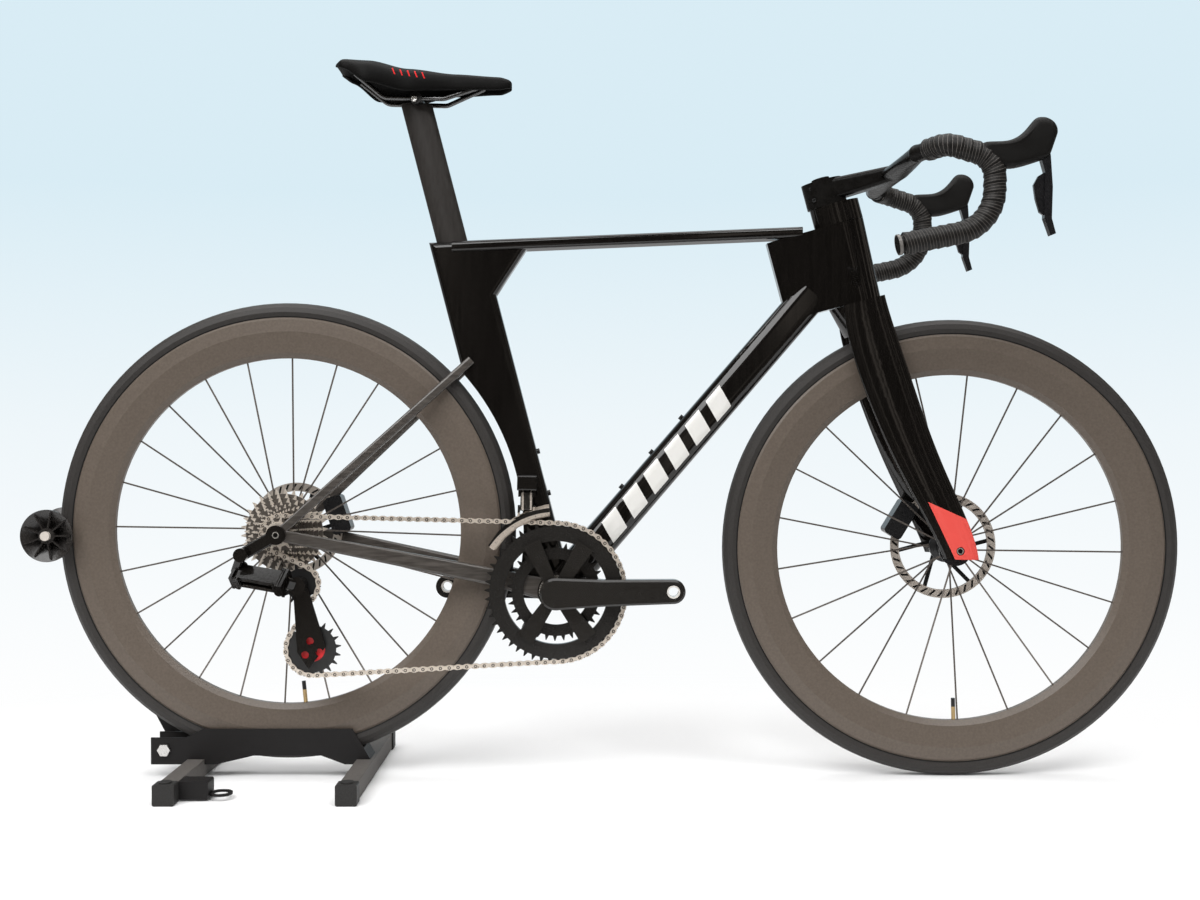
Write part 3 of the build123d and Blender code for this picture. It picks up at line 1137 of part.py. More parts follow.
def make_fd_link():
    x, z = FD_AT
    link = Rot(0, 90, 0) * extrude(SlotCenterToCenter(FD_LINK_LENGTH, 7), FD_LINK_WIDTH / 2, both=True)
    for s in (1, -1):
        link -= Pos(0, 0, s * FD_LINK_LENGTH / 2) * Rot(0, 90, 0) * Cylinder(FD_PIN_RADIUS + RUNNING_GAP, 60)
    return Pos(x, FD_PIVOT_Y, z) * Rot(FD_REST, 0, 0) * Pos(0, 0, -FD_LINK_LENGTH / 2) * link


def fd_cage_pivot():
    turn = radians(FD_REST)
    return (FD_AT[0], FD_PIVOT_Y + FD_LINK_LENGTH * sin(turn), FD_AT[1] - FD_LINK_LENGTH * cos(turn))


def make_fd_cage():
    px, py, pz = fd_cage_pivot()
    tip = pitch_radius(BIG_RING_TEETH) + TOOTH_HEIGHT + 3
    plates = []
    for y, drop, rise in ((-CHAINLINE - FD_CAGE_HALF, 2, 0), (-CHAINLINE + FD_CAGE_HALF - 1.5, 0, 3)):
        crest, edge = [], []
        for degree in (96, 109, 122, 135, 147):
            share = (degree - 96) / 51
            crest.append(polar(BB, tip + rise + 19 - 9 * share, radians(degree)))
            edge.append(polar(BB, tip + drop + 4 - 4 * share, radians(degree)))
        plates.append(plate(crest + edge[::-1], y, y + 1.5))
    far = polar(BB, tip + 6, radians(145.5))
    tail = Pos(far[0], -CHAINLINE, far[1]) * Box(4, 2 * FD_CAGE_HALF, 6)
    near = polar(BB, tip + 13, radians(99))
    nose = Pos(near[0], -CHAINLINE, near[1]) * Box(6, 2 * FD_CAGE_HALF, 6)
    ears = [Pos(px + s * (FD_LINK_WIDTH / 2 + 2), -CHAINLINE, pz) * Box(3, 8, 9) for s in (1, -1)]
    posts = [Pos(px + s * (FD_LINK_WIDTH / 2 + 2), -CHAINLINE, pz - 8) * Box(3, 2 * FD_CAGE_HALF, 10)
             for s in (1, -1)]
    pin = Pos(px, py, pz) * Rot(0, 90, 0) * Cylinder(FD_PIN_RADIUS, FD_LINK_WIDTH + 6)
    return fuse(*plates, tail, nose, *ears, *posts, pin)


# Stand, in x from the rear axle and z from the floor
def make_stand_legs():
    legs = []
    for side in (1, -1):
        x = LEG_CENTRE + side * LEG_SPACING / 2
        legs.append(Pos(x, 0, FOOT_SIZE / 2) * Box(LEG_SIZE, LEG_LENGTH, LEG_SIZE))
    return Compound(legs)


def make_stand_feet():
    feet = []
    for sx in (1, -1):
        for sy in (1, -1):
            cap = Pos(0, 0, FOOT_SIZE / 2) * Box(FOOT_SIZE, FOOT_LENGTH, FOOT_SIZE)
            cap = fillet(cap.edges().filter_by(Axis.Y), 3)
            on_top = (Align.CENTER, Align.CENTER, Align.MIN)
            cap += Pos(0, 0, FOOT_SIZE) * Cylinder(FOOT_SIZE * 0.3, 2, align=on_top)
            y = sy * (LEG_LENGTH / 2 + FOOT_WALL - FOOT_LENGTH / 2)
            x = LEG_CENTRE + sx * LEG_SPACING / 2
            leg = Pos(x, 0, FOOT_SIZE / 2) * Box(LEG_SIZE, LEG_LENGTH, LEG_SIZE)
            feet.append(Pos(x, y, 0) * cap - leg)
    return Compound(feet)


def make_stand_plates():
    top, low, arch = STAND_TOP, STAND_BOTTOM, STAND_BOTTOM + 13
    fore, aft = LEG_CENTRE + LEG_SPACING / 2, LEG_CENTRE - LEG_SPACING / 2
    outline = [(PIVOT_X - 20, low), (PIVOT_X - 20, top - 13), (aft - 15, top - 13), (aft + 10, top),
               (fore - 19, top),
               (fore + 12, low), (fore - 30, low), (fore - 65, arch), (aft + 85, arch), (aft + 30, low)]
    sheet = plate(outline, PLATE_Y, PLATE_Y + STAND_PLATE)
    sheet -= rod_y((PIVOT_X, PIVOT_Z), PIVOT_RADIUS + RUNNING_GAP, 0, 2 * PLATE_Y + STAND_PLATE)
    axle_z = WHEEL_RADIUS + STAND_LIFT
    reach = WHEEL_RADIUS + CRADLE_ROD_RADIUS + TURN_GAP
    rod_z = axle_z - sqrt(reach**2 - CRADLE_ROD_X**2)
    rods = [rod_y((s * CRADLE_ROD_X, rod_z), CRADLE_ROD_RADIUS, -PLATE_Y, PLATE_Y) for s in (1, -1)]
    tab = plate([(fore - 19, top), (fore + 12, low), (fore + 12 - STAND_PLATE, low),
                 (fore - 19 - STAND_PLATE, top)],
                -PLATE_Y, PLATE_Y)
    body = fuse(sheet, mirror_y(sheet), *rods, tab)
    wheel_room = rod_y((0, axle_z), WHEEL_RADIUS + TURN_GAP, -PLATE_Y + 0.01, PLATE_Y - 0.01)
    return body - make_stand_legs() - wheel_room


def make_pivot_bolt():
    outer = PLATE_Y + STAND_PLATE
    shaft = rod_y((PIVOT_X, PIVOT_Z), PIVOT_RADIUS, -outer, ARM_Y + ARM_THICKNESS + TURN_GAP)
    head_face = Plane.XZ * Pos(PIVOT_X, PIVOT_Z) * RegularPolygon(PIVOT_RADIUS * 1.6, 6)
    head = Pos(0, -outer, 0) * extrude(head_face, PIVOT_RADIUS * 0.8)
    nut_y = ARM_Y + ARM_THICKNESS + TURN_GAP + PIVOT_RADIUS * 0.8
    nut = Pos(0, nut_y, 0) * extrude(head_face, PIVOT_RADIUS * 0.8)
    return fuse(shaft, head, nut)


def make_stand_spring():
    pitch = SPRING_WIRE * 2 + 1.0
    height = pitch * SPRING_TURNS
    path = Helix(pitch, height, SPRING_RADIUS)
    wire = sweep(Plane(origin=path @ 0, z_dir=path % 0) * Circle(SPRING_WIRE), path=path, is_frenet=True)
    return Pos(PIVOT_X, height / 2, PIVOT_Z) * Rot(90, 0, 0) * wire


def make_stand_bracket():
    x = LEG_CENTRE - LEG_SPACING / 2 + LEG_SIZE / 2
    y = -LEG_LENGTH / 2 + BRACKET_IN
    box = Pos(x + BRACKET_LENGTH / 2, y, FOOT_SIZE / 2) * Box(BRACKET_LENGTH, 30, LEG_SIZE)
    box = fillet(box.edges().filter_by(Axis.Y), 3)
    ring = Pos(x + BRACKET_LENGTH + 14, y, 8) * (Cylinder(16, 3) - Cylinder(11, 4))
    return box + ring


def make_stand_arm():
    pivot, axle = (PIVOT_X, PIVOT_Z), (ROLLER_X, ROLLER_Z)
    length = hypot(axle[0] - pivot[0], axle[1] - pivot[1])
    angle = degrees(atan2(axle[1] - pivot[1], axle[0] - pivot[0]))
    middle = ((pivot[0] + axle[0]) / 2, (pivot[1] + axle[1]) / 2)
    slot = Pos(middle[0], middle[1]) * Rot(0, 0, angle) * SlotCenterToCenter(length, ARM_WIDTH)
    bar = Pos(0, ARM_Y + ARM_THICKNESS, 0) * extrude(Plane.XZ * slot, ARM_THICKNESS)
    sleeve = rod_y(pivot, PIVOT_RADIUS * 1.7, PLATE_Y + STAND_PLATE + TURN_GAP, ARM_Y)
    end = ROLLER_OUTER_Y + TURN_GAP
    shaft = rod_y(axle, ROLLER_PIN_RADIUS, -end, ARM_Y)
    nut = rod_y(axle, ROLLER_PIN_RADIUS * 1.7, -end - 6, -end)
    return fuse(bar, sleeve, shaft, nut) - rod_y(pivot, PIVOT_RADIUS + RUNNING_GAP, 0, 2 * ARM_Y)


def make_roller(side):
    """Half of the spool that holds the tyre: a hub that bears on the tread and a dished flange with ribs."""
    hub = ROLLER_HUB_RADIUS
    bore, rim, wall = ROLLER_PIN_RADIUS + RUNNING_GAP, ROLLER_DISC_RADIUS, 3.0
    y0, y1 = TYRE_WIDTH / 2 + 3, ROLLER_OUTER_Y
    disc = ring_y((ROLLER_X, ROLLER_Z), [(bore, TURN_GAP), (hub, TURN_GAP), (hub, y0),
                                         (rim, y1 - wall), (rim, y1),
                                         (hub + 4, y0 + wall + 1), (hub + 4, y1), (bore, y1)])
    for k in range(ROLLER_RIBS):
        angle = 2 * pi * k / ROLLER_RIBS
        inner, outer = polar((0, 0), hub + 2, angle), polar((0, 0), rim - 4, angle)
        across = (-sin(angle), cos(angle))
        rib = plate([(ROLLER_X + p[0] + s * across[0], ROLLER_Z + p[1] + s * across[1]) for p, s in (
            (inner, 1), (outer, 1), (outer, -1), (inner, -1))], y0 + wall + 2, y1)
        disc += rib & ring_y((ROLLER_X, ROLLER_Z), [(bore, y0), (hub, y0), (rim, y1 - wall),
                                                    (rim, y1), (bore, y1)])
    return disc if side > 0 else mirror_y(disc)


def build():
    cage_angle, links = solve_cage_angle()
    segments = chain_segments(cage_angle)
    ring_phase, lower_phase, upper_phase, cog_phase = mesh_phases(segments)
    lower = lower_pulley_centre(cage_angle)
    main_frame = make_main_frame()
    rear_triangle = make_rear_triangle()
    fork = make_fork()
    hanger = make_hanger()
    front_rotor_y = FRONT_AXLE_SPACING / 2 - FRONT_ROTOR_INSET
    rear_rotor_y = REAR_AXLE_SPACING / 2 - REAR_ROTOR_INSET
    bicycle = {
        "main_frame": main_frame, "head_nose": make_head_nose(), "rear_triangle": rear_triangle,
        "derailleur_hanger": hanger, "seatpost": make_seatpost(), "saddle_clamp": make_saddle_clamp(),
        "saddle_rails": make_saddle_rails(), "saddle_cover": make_saddle_cover(),
        "bottom_bracket_cups": make_bracket_cups(), "headset_bearings": make_headset_bearings(),
        "rear_axle": make_rear_axle(), "bottle_bolts": make_bottle_bolts(),
        "rear_caliper": make_caliper(REAR_AXLE, REAR_ROTOR_RADIUS, rear_rotor_y, REAR_CALIPER_ANGLE,
                                     rear_triangle),
        "fork": fork, "headset_spacer": make_headset_spacer(), "handlebar": make_handlebar(),
        "bar_tape": make_bar_tape(), "bar_end_plugs": make_bar_plugs(), "lever_bodies": make_lever_bodies(),
        "right_brake_lever": make_brake_lever(-1), "left_brake_lever": make_brake_lever(1),
        "right_shift_paddle": make_shift_paddle(-1), "left_shift_paddle": make_shift_paddle(1),
        "front_axle": make_front_axle(),
        "front_caliper": make_caliper(FRONT_AXLE, FRONT_ROTOR_RADIUS, front_rotor_y, FRONT_CALIPER_ANGLE,
                                      fork),
        "front_tyre": make_tyre(FRONT_AXLE), "front_rim": make_rim(FRONT_AXLE, radians(FRONT_VALVE_ANGLE)),
        "front_spokes": make_spokes(FRONT_AXLE, FRONT_SPOKES, FRONT_LEFT_FLANGE, FRONT_RIGHT_FLANGE, 0.0),
        "front_hub": make_front_hub(),
        "front_rotor": make_rotor(FRONT_AXLE, FRONT_ROTOR_RADIUS, front_rotor_y, 12.0),
        "rear_tyre": make_tyre(REAR_AXLE), "rear_rim": make_rim(REAR_AXLE, radians(REAR_VALVE_ANGLE)),
        "rear_spokes": make_spokes(REAR_AXLE, REAR_SPOKES, REAR_RIGHT_FLANGE, REAR_LEFT_FLANGE, 0.0),
        "rear_hub": make_rear_hub(),
        "rear_rotor": make_rotor(REAR_AXLE, REAR_ROTOR_RADIUS, rear_rotor_y, 13.6),
        "cassette": make_cassette(cog_phase), "chain": make_chain(segments, links),
        "right_crank": make_right_crank(), "left_crank": make_left_crank(),
        "big_chainring": make_big_ring(ring_phase), "small_chainring": make_small_ring(),
        "rd_body": make_derailleur_body(hanger), "rd_outer_link": make_link(LINK_ORIGIN),
        "rd_inner_link": make_link(LINK_ORIGIN + LINK_SIDE * LINK_OFFSET), "rd_knuckle": make_knuckle(),
        "rd_cage": make_cage(lower), "upper_pulley": make_pulley(GUIDE, UPPER_PULLEY_TEETH, upper_phase),
        "lower_pulley": make_pulley(lower, LOWER_PULLEY_TEETH, lower_phase),
        "fd_body": make_fd_body(), "fd_link": make_fd_link(), "fd_cage": make_fd_cage(),
    }
    stand = {
        "stand_legs": make_stand_legs(), "stand_feet": make_stand_feet(),
        "stand_side_plates": make_stand_plates(),
        "stand_pivot_bolt": make_pivot_bolt(), "stand_spring": make_stand_spring(),
        "stand_bracket": make_stand_bracket(), "stand_arm": make_stand_arm(),
        "right_roller": make_roller(-1), "left_roller": make_roller(1),
    }
    placed = {name: ON_STAND * shape for name, shape in bicycle.items()}
    placed.update({name: FLOOR * shape for name, shape in stand.items()})
    return placed


os.makedirs("parts", exist_ok=True)
for node, solid in build().items():
    export_step(solid, f"parts/{node}.step")
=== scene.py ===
from functools import reduce
from math import asin, atan2, cos, hypot, pi, radians, sin

import bpy
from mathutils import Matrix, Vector


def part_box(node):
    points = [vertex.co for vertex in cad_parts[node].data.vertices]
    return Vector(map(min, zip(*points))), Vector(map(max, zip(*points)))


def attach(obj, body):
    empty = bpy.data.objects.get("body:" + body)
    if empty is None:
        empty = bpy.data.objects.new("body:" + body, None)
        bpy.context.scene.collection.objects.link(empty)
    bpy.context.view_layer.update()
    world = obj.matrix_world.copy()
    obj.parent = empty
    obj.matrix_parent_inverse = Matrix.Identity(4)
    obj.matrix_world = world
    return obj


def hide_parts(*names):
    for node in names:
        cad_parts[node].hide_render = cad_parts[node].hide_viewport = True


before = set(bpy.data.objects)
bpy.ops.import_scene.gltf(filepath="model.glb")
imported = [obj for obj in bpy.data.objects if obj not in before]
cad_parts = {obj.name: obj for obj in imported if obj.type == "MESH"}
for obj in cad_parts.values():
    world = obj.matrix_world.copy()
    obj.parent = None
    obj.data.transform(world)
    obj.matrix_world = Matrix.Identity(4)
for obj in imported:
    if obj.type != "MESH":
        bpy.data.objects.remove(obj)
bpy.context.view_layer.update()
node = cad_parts


# Display stand: square steel legs and pressed side plates, welded up and powder coated matt black, with
# moulded caps on the legs' ends. A sprung arm carries two ribbed plastic rollers on one steel pin with a
# bright nut.
def add_node(tree, kind, inputs=None, **settings):
    """A shader node with its settings made, and its inputs set to values or linked from other sockets."""
    made = tree.nodes.new("ShaderNode" + kind)
    for name, value in settings.items():
        setattr(made, name, value)
    for name, value in (inputs or {}).items():
        if isinstance(value, bpy.types.NodeSocket):
            tree.links.new(value, made.inputs[name])
        else:
            made.inputs[name].default_value = value
    return made


def grain_group():
    """Fine unevenness shared by all the finishes: a value between two limits, and the height behind it."""
    group = bpy.data.node_groups.new("fine_grain", "ShaderNodeTree")
    group.interface.new_socket("Vector", in_out="INPUT", socket_type="NodeSocketVector")
    for side, names in (("INPUT", ("Scale", "Low", "High")), ("OUTPUT", ("Value", "Height"))):
        for name in names:
            group.interface.new_socket(name, in_out=side, socket_type="NodeSocketFloat")
    given, out = group.nodes.new("NodeGroupInput").outputs, group.nodes.new("NodeGroupOutput").inputs
    noise = add_node(group, "TexNoise", {"Vector": given["Vector"], "Scale": given["Scale"], "Detail": 4.0})
    span = add_node(group, "MapRange", {"Value": noise.outputs["Fac"], "From Min": 0.3, "From Max": 0.7,
                                        "To Min": given["Low"], "To Max": given["High"]})
    group.links.new(span.outputs["Result"], out["Value"])
    group.links.new(noise.outputs["Fac"], out["Height"])
    return group


fine_grain = grain_group()


class Finish:
    """A material with a Principled shader, and fine grain in its gloss, colour and relief."""

    def __init__(self, name, colour, rough, grain, relief, shade=0.25, metal=0.0, shine=0.5, stretch=(1, 1, 1)):
        self.material = bpy.data.materials.new(name)
        self.material.use_nodes = True
        self.tree = self.material.node_tree
        self.shader = self.tree.nodes["Principled BSDF"].inputs
        self.shader["Metallic"].default_value = metal
        self.shader["Specular IOR Level"].default_value = shine
        self.where = self.add("TexCoord").outputs["Object"]
        turn = self.add("Mapping", {"Vector": self.where, "Scale": stretch})
        fine = self.add("Group", {"Vector": turn.outputs["Vector"], "Scale": grain, "Low": rough[0],
                                  "High": rough[1]}, node_tree=fine_grain)
        self.height = fine.outputs["Height"]
        dark, light = ((*(c * share for c in colour), 1) for share in (1 - shade, 1 + shade))
        tint = self.add("Mix", {"Factor": self.height, "A": dark, "B": light}, data_type="RGBA")
        self.colour = tint.outputs["Result"]
        self.bump = self.add("Bump", {"Strength": 0.5, "Distance": relief, "Height": self.height})
        self.feed("Roughness", fine.outputs["Value"])
        self.feed("Normal", self.bump.outputs["Normal"])
        self.feed("Base Color", self.colour)

    def add(self, kind, inputs=None, **settings):
        """A node in this material."""
        return add_node(self.tree, kind, inputs, **settings)

    def feed(self, name, value):
        """Links a socket to one of the shader's inputs."""
        self.tree.links.new(value, self.shader[name])

    def maths(self, operation, *values):
        """The outcome of one Math node on sockets and plain numbers."""
        return self.add("Math", dict(enumerate(values)), operation=operation).outputs[0]

    def axes(self, vector=None):
        """The x, y and z sockets of a vector, or else of the Object coordinates."""
        split = self.add("SeparateXYZ", {"Vector": vector or self.where})
        return split.outputs["X"], split.outputs["Y"], split.outputs["Z"]

    def length(self, first, second):
        """The length of a way with these two legs."""
        squares = [self.maths("MULTIPLY", leg, leg) for leg in (first, second)]
        return self.maths("SQRT", self.maths("ADD", *squares))

    def all_of(self, *masks):
        """A mask that is 1 where each of the masks is."""
        return reduce(lambda first, second: self.maths("MULTIPLY", first, second), masks)

    def under(self, value, limit):
        """A mask that is 1 where the value is less than the limit."""
        return self.maths("LESS_THAN", value, limit)

    def over(self, value, limit):
        """A mask that is 1 where the value is more than the limit."""
        return self.maths("GREATER_THAN", value, limit)

    def between(self, value, low, high):
        """A mask that is 1 where the value lies between two limits."""
        return self.all_of(self.over(value, low), self.under(value, high))

    def paint(self, mask, colour):
        """Lays a second colour over the first where the mask is 1."""
        both = self.add("Mix", {"Factor": mask, "A": self.colour, "B": (*colour, 1)}, data_type="RGBA")
        self.colour = both.outputs["Result"]
        self.feed("Base Color", self.colour)

    def carve(self, height, depth):
        """Puts another height behind the relief, which is this many metres deep."""
        self.tree.links.new(height, self.bump.inputs["Height"])
        self.bump.inputs["Distance"].default_value = depth

    def on(self, *names):
        """Puts this finish on CAD nodes, in place of what they had."""
        for name in names:
            slots = node[name].data.materials
            slots.clear()
            slots.append(self.material)


def way_from(finish, point):
    """Sockets for how far forward and up a spot lies from a point."""
    x, _, z = finish.axes()
    return finish.maths("SUBTRACT", x, point.x), finish.maths("SUBTRACT", z, point.z)


def far_from(finish, axle):
    """A socket for the distance from an axle that runs across the bicycle."""
    return finish.length(*way_from(finish, axle))


def powder_coat(name):
    """Matt black powder, baked on and slightly rough."""
    return Finish(name, (0.012, 0.011, 0.011), (0.42, 0.62), grain=900.0, relief=0.0003, shade=0.4, shine=0.2)


NUT_EDGE, NUT_PALE = 0.0075, (0.55, 0.5, 0.45)
powder_coat("stand_powder_coat").on("stand_side_plates", "stand_bracket")
leg_coat = Finish("stand_leg_coat", (0.1, 0.092, 0.085), (0.5, 0.75), grain=420.0, relief=0.0006, shade=0.8,
                  shine=0.2)
leg_coat.on("stand_legs")
cap_plastic = Finish("end_cap_plastic", (0.028, 0.027, 0.026), (0.45, 0.6), grain=600.0, relief=0.0004,
                     shade=0.5, shine=0.2)
cap_plastic.on("stand_feet")
roller_plastic = Finish("roller_plastic", (0.018, 0.016, 0.015), (0.2, 0.35), grain=300.0, relief=0.0002)
roller_plastic.on("right_roller", "left_roller")
bright_steel = Finish("bright_steel", (0.62, 0.61, 0.59), (0.18, 0.34), grain=500.0, relief=0.00005, metal=1.0,
                      shade=0.12)
bright_steel.on("stand_pivot_bolt", "stand_spring")
arm_coat = powder_coat("stand_arm_coat")
low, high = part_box("right_roller")
arm_coat.paint(arm_coat.under(far_from(arm_coat, (low + high) / 2), NUT_EDGE), NUT_PALE)
arm_coat.on("stand_arm")

# Frame: carbon fibre mouldings under black gloss lacquer, with the stays bonded on. Plain pale slanted bars
# are sprayed along both sides of the down tube. Cups and bearings are pressed in, and screws close the
# bottle bosses.
WHEELBASE, AXLE_HEIGHT, STAND_LIFT, REAR_AXLE_X = 985.0, 339.0, 24.8, -469.094
TILT = asin(STAND_LIFT / WHEELBASE)
DOWN_TUBE_FOOT, DOWN_TUBE_HEAD = (412, 0, 273), (769.3, 0, 711)
BAR_BEAT, BAR_SHARE, BAR_LEAN, BAR_HALF_WIDTH = 0.047, (0.12, 0.78), 0.35, 0.0165
FIRST_BAR, LAST_BAR, BAR_PALE = 2, 8, (0.72, 0.71, 0.68)


def at(x, y, z):
    """A point of the level bicycle, in millimetres from below the rear axle, as it stands on the stand."""
    up = z - AXLE_HEIGHT
    return Vector(((REAR_AXLE_X + x * cos(TILT) + up * sin(TILT)) / 1000, y / 1000,
                   (AXLE_HEIGHT + STAND_LIFT - x * sin(TILT) + up * cos(TILT)) / 1000))


def along_line(finish, start, end):
    """Sockets for the distance along a line in the bicycle's middle plane, and across it, in metres."""
    forward, up = way_from(finish, start)
    run = end - start
    dx, dz = run.x / hypot(run.x, run.z), run.z / hypot(run.x, run.z)
    along = finish.maths("ADD", finish.maths("MULTIPLY", forward, dx), finish.maths("MULTIPLY", up, dz))
    across = finish.maths("ADD", finish.maths("MULTIPLY", forward, -dz), finish.maths("MULTIPLY", up, dx))
    return along, across


def lacquer(name):
    """Black gloss over carbon fibre, its colour in faint upright streaks painted in as streaked reflections."""
    return Finish(name, (0.0048, 0.0041, 0.0036), (0.05, 0.1), grain=240.0, relief=0.00002, shade=0.5,
                  stretch=(1.0, 1.0, 0.04))


lacquer("gloss_lacquer").on("head_nose", "headset_spacer", "derailleur_hanger")
# Painted reflection: the stays' lacquer is far paler, streaked along them, for the light that their gloss
# catches.
stay_sheen_lacquer = Finish("stay_sheen_lacquer", (0.06, 0.053, 0.047), (0.14, 0.26), grain=240.0, relief=0.00002,
                      shade=0.85, stretch=(0.06, 1.0, 1.0))
stay_sheen_lacquer.on("rear_triangle")
frame_lacquer = lacquer("frame_lacquer")
along, across = along_line(frame_lacquer, at(*DOWN_TUBE_FOOT), at(*DOWN_TUBE_HEAD))
slant = frame_lacquer.maths("SUBTRACT", along, frame_lacquer.maths("MULTIPLY", across, BAR_LEAN))
beat = frame_lacquer.maths("FRACT", frame_lacquer.maths("DIVIDE", slant, BAR_BEAT))
bars = frame_lacquer.all_of(frame_lacquer.between(beat, *BAR_SHARE),
                            frame_lacquer.between(slant, FIRST_BAR * BAR_BEAT, LAST_BAR * BAR_BEAT),
                            frame_lacquer.between(across, -BAR_HALF_WIDTH, BAR_HALF_WIDTH))
frame_lacquer.paint(bars, BAR_PALE)
frame_lacquer.on("main_frame")
bright_steel.on("bottom_bracket_cups", "headset_bearings")
screw_black = Finish("screw_black", (0.02, 0.02, 0.02), (0.25, 0.4), grain=700.0, relief=0.0001, metal=0.6)
screw_black.on("bottle_bolts")

# Seatpost: a deep bladed tube of bare carbon laminate with a satin face, greyer than the lacquer. It slides
# into the seat tube, where a wedge holds it, and its head carries the black clamp of the saddle's rails.
laminate = Finish("satin_laminate", (0.024, 0.021, 0.019), (0.36, 0.5), grain=260.0, relief=0.0001, shade=0.35,
                  shine=0.25, stretch=(1.0, 1.0, 0.2))
laminate.on("seatpost")
screw_black.on("saddle_clamp")

# Saddle: a moulded shell with thin padding under a smooth cover, with a shallow channel along its middle and
# a row of short red slashes on each side. It sits on two bent metal rails, and a steel bolt closes their
# clamp.
SADDLE_REAR, SADDLE_LENGTH, SADDLE_TOP, NOSE_FALL = 57.98, 260.0, 1031.0, 17.0
HALF_WIDTH = [(0.0, 26), (0.05, 48), (0.2, 66), (0.42, 47), (0.68, 25), (0.93, 19), (0.98, 14), (1.0, 7)]
CROWN_HEIGHT = [(0.0, -3), (0.05, 4), (0.2, 2), (0.42, -6), (0.68, -10), (0.93, -12), (0.98, -15), (1.0, -19)]
EDGE_HEIGHT = [(0.0, -9), (0.05, -15), (0.2, -38), (0.42, -45), (0.68, -37), (0.93, -34), (1.0, -29)]
EDGE_ROUND, EDGE_UPRIGHT, SADDLE_SHELL = 2.6, 1.12, 0.006
CHANNEL_DEPTH, CHANNEL_NARROW, CHANNEL_START, CHANNEL_END = 3.0, 6, 0.12, 0.9
SLASH_BEAT, SLASH_LEAN, SLASH_SHARE, SLASH_RED = 0.0105, 0.5, 0.2, (0.5, 0.012, 0.012)
SLASH_RUN, SLASH_BAND, SLASH_FACING = (0.0765, 0.1285), (-0.0165, -0.0065), 0.1


def saddle_line(at_share, table):
    """Eased reading of a table of (share of length, value)."""
    for (a, first), (b, last) in zip(table, table[1:]):
        if at_share <= b:
            t = (at_share - a) / (b - a)
            return first + (last - first) * t * t * (3 - 2 * t)
    return table[-1][1]


bpy.ops.object.select_all(action="DESELECT")
bpy.ops.mesh.primitive_grid_add(x_subdivisions=48, y_subdivisions=24, size=2.0)
saddle = bpy.context.object
saddle.name = "saddle_top"
for v in saddle.data.vertices:
    share, side = (v.co.x + 1) / 2, v.co.y
    half, top, low = (saddle_line(share, table) for table in (HALF_WIDTH, CROWN_HEIGHT, EDGE_HEIGHT))
    fall = (low - top) * abs(side) ** EDGE_ROUND
    reach = sin(min(abs(side) * EDGE_UPRIGHT, 1.0) * pi / 2) * (1 if side > 0 else -1)
    if CHANNEL_START < share < CHANNEL_END:
        fall -= CHANNEL_DEPTH * max(0.0, 1 - abs(side) * CHANNEL_NARROW)
    v.co = at(SADDLE_REAR + share * SADDLE_LENGTH, half * reach, SADDLE_TOP + top + fall)
thick = saddle.modifiers.new("shell", "SOLIDIFY")
thick.thickness, thick.offset = SADDLE_SHELL, -1
smooth = saddle.modifiers.new("padding", "SUBSURF")
smooth.levels = smooth.render_levels = 1
for name in ("shell", "padding"):
    bpy.ops.object.modifier_apply(modifier=name)
bpy.ops.object.shade_smooth()
saddle_skin = Finish("saddle_skin", (0.004, 0.0038, 0.0036), (0.45, 0.6), grain=1200.0, relief=0.0001,
                     shade=0.4, shine=0.08)
along, across = along_line(saddle_skin, at(SADDLE_REAR, 0, SADDLE_TOP),
                           at(SADDLE_REAR + SADDLE_LENGTH, 0, SADDLE_TOP - NOSE_FALL))
slant = saddle_skin.maths("ADD", along, saddle_skin.maths("MULTIPLY", across, SLASH_LEAN))
beat = saddle_skin.maths("FRACT", saddle_skin.maths("DIVIDE", slant, SLASH_BEAT))
_, _, facing_up = saddle_skin.axes(saddle_skin.add("NewGeometry").outputs["True Normal"])
slashes = saddle_skin.all_of(saddle_skin.between(beat, 0.0, SLASH_SHARE),
                             saddle_skin.between(slant, *SLASH_RUN),
                             saddle_skin.between(across, *SLASH_BAND),
                             saddle_skin.over(facing_up, SLASH_FACING))
saddle_skin.paint(slashes, SLASH_RED)
saddle.data.materials.append(saddle_skin.material)
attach(saddle, "frame_on_stand")
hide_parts("saddle_cover")

CLAMP_BOLT, RIGHTWARDS = (176, -27.4, 978.5), (0, -1, 0)
SOCKET_RIM, SOCKET_DEPTH, HEAD_EDGE = 0.45, 0.5, 0.12


def socket_bolt(name, foot, axis, radius, height, skin, body):
    """A round bolt head with a sunk socket, standing on a face."""
    bpy.ops.object.select_all(action="DESELECT")
    bpy.ops.mesh.primitive_cylinder_add(vertices=24, radius=radius, depth=height)
    bolt = bpy.context.object
    bolt.name = name
    bpy.ops.object.mode_set(mode="EDIT")
    bpy.ops.mesh.select_mode(type="FACE")
    bpy.ops.mesh.select_all(action="DESELECT")
    bpy.ops.object.mode_set(mode="OBJECT")
    for poly in bolt.data.polygons:
        poly.select = poly.normal.z > 0.9
    bpy.ops.object.mode_set(mode="EDIT")
    bpy.ops.mesh.inset(thickness=radius * SOCKET_RIM)
    bpy.ops.mesh.extrude_region_move(TRANSFORM_OT_translate={"value": (0, 0, -height * SOCKET_DEPTH)})
    bpy.ops.object.mode_set(mode="OBJECT")
    edge = bolt.modifiers.new("edge", "BEVEL")
    edge.width, edge.segments, edge.limit_method = radius * HEAD_EDGE, 2, "ANGLE"
    bpy.ops.object.modifier_apply(modifier="edge")
    bolt.location = Vector(foot) + Vector(axis) * height / 2
    bolt.rotation_euler = Vector(axis).to_track_quat("Z", "Y").to_euler()
    bpy.ops.object.transform_apply(location=True, rotation=True)
    bpy.ops.object.shade_smooth_by_angle(angle=radians(40))
    bolt.data.materials.append(skin.material)
    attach(bolt, body)


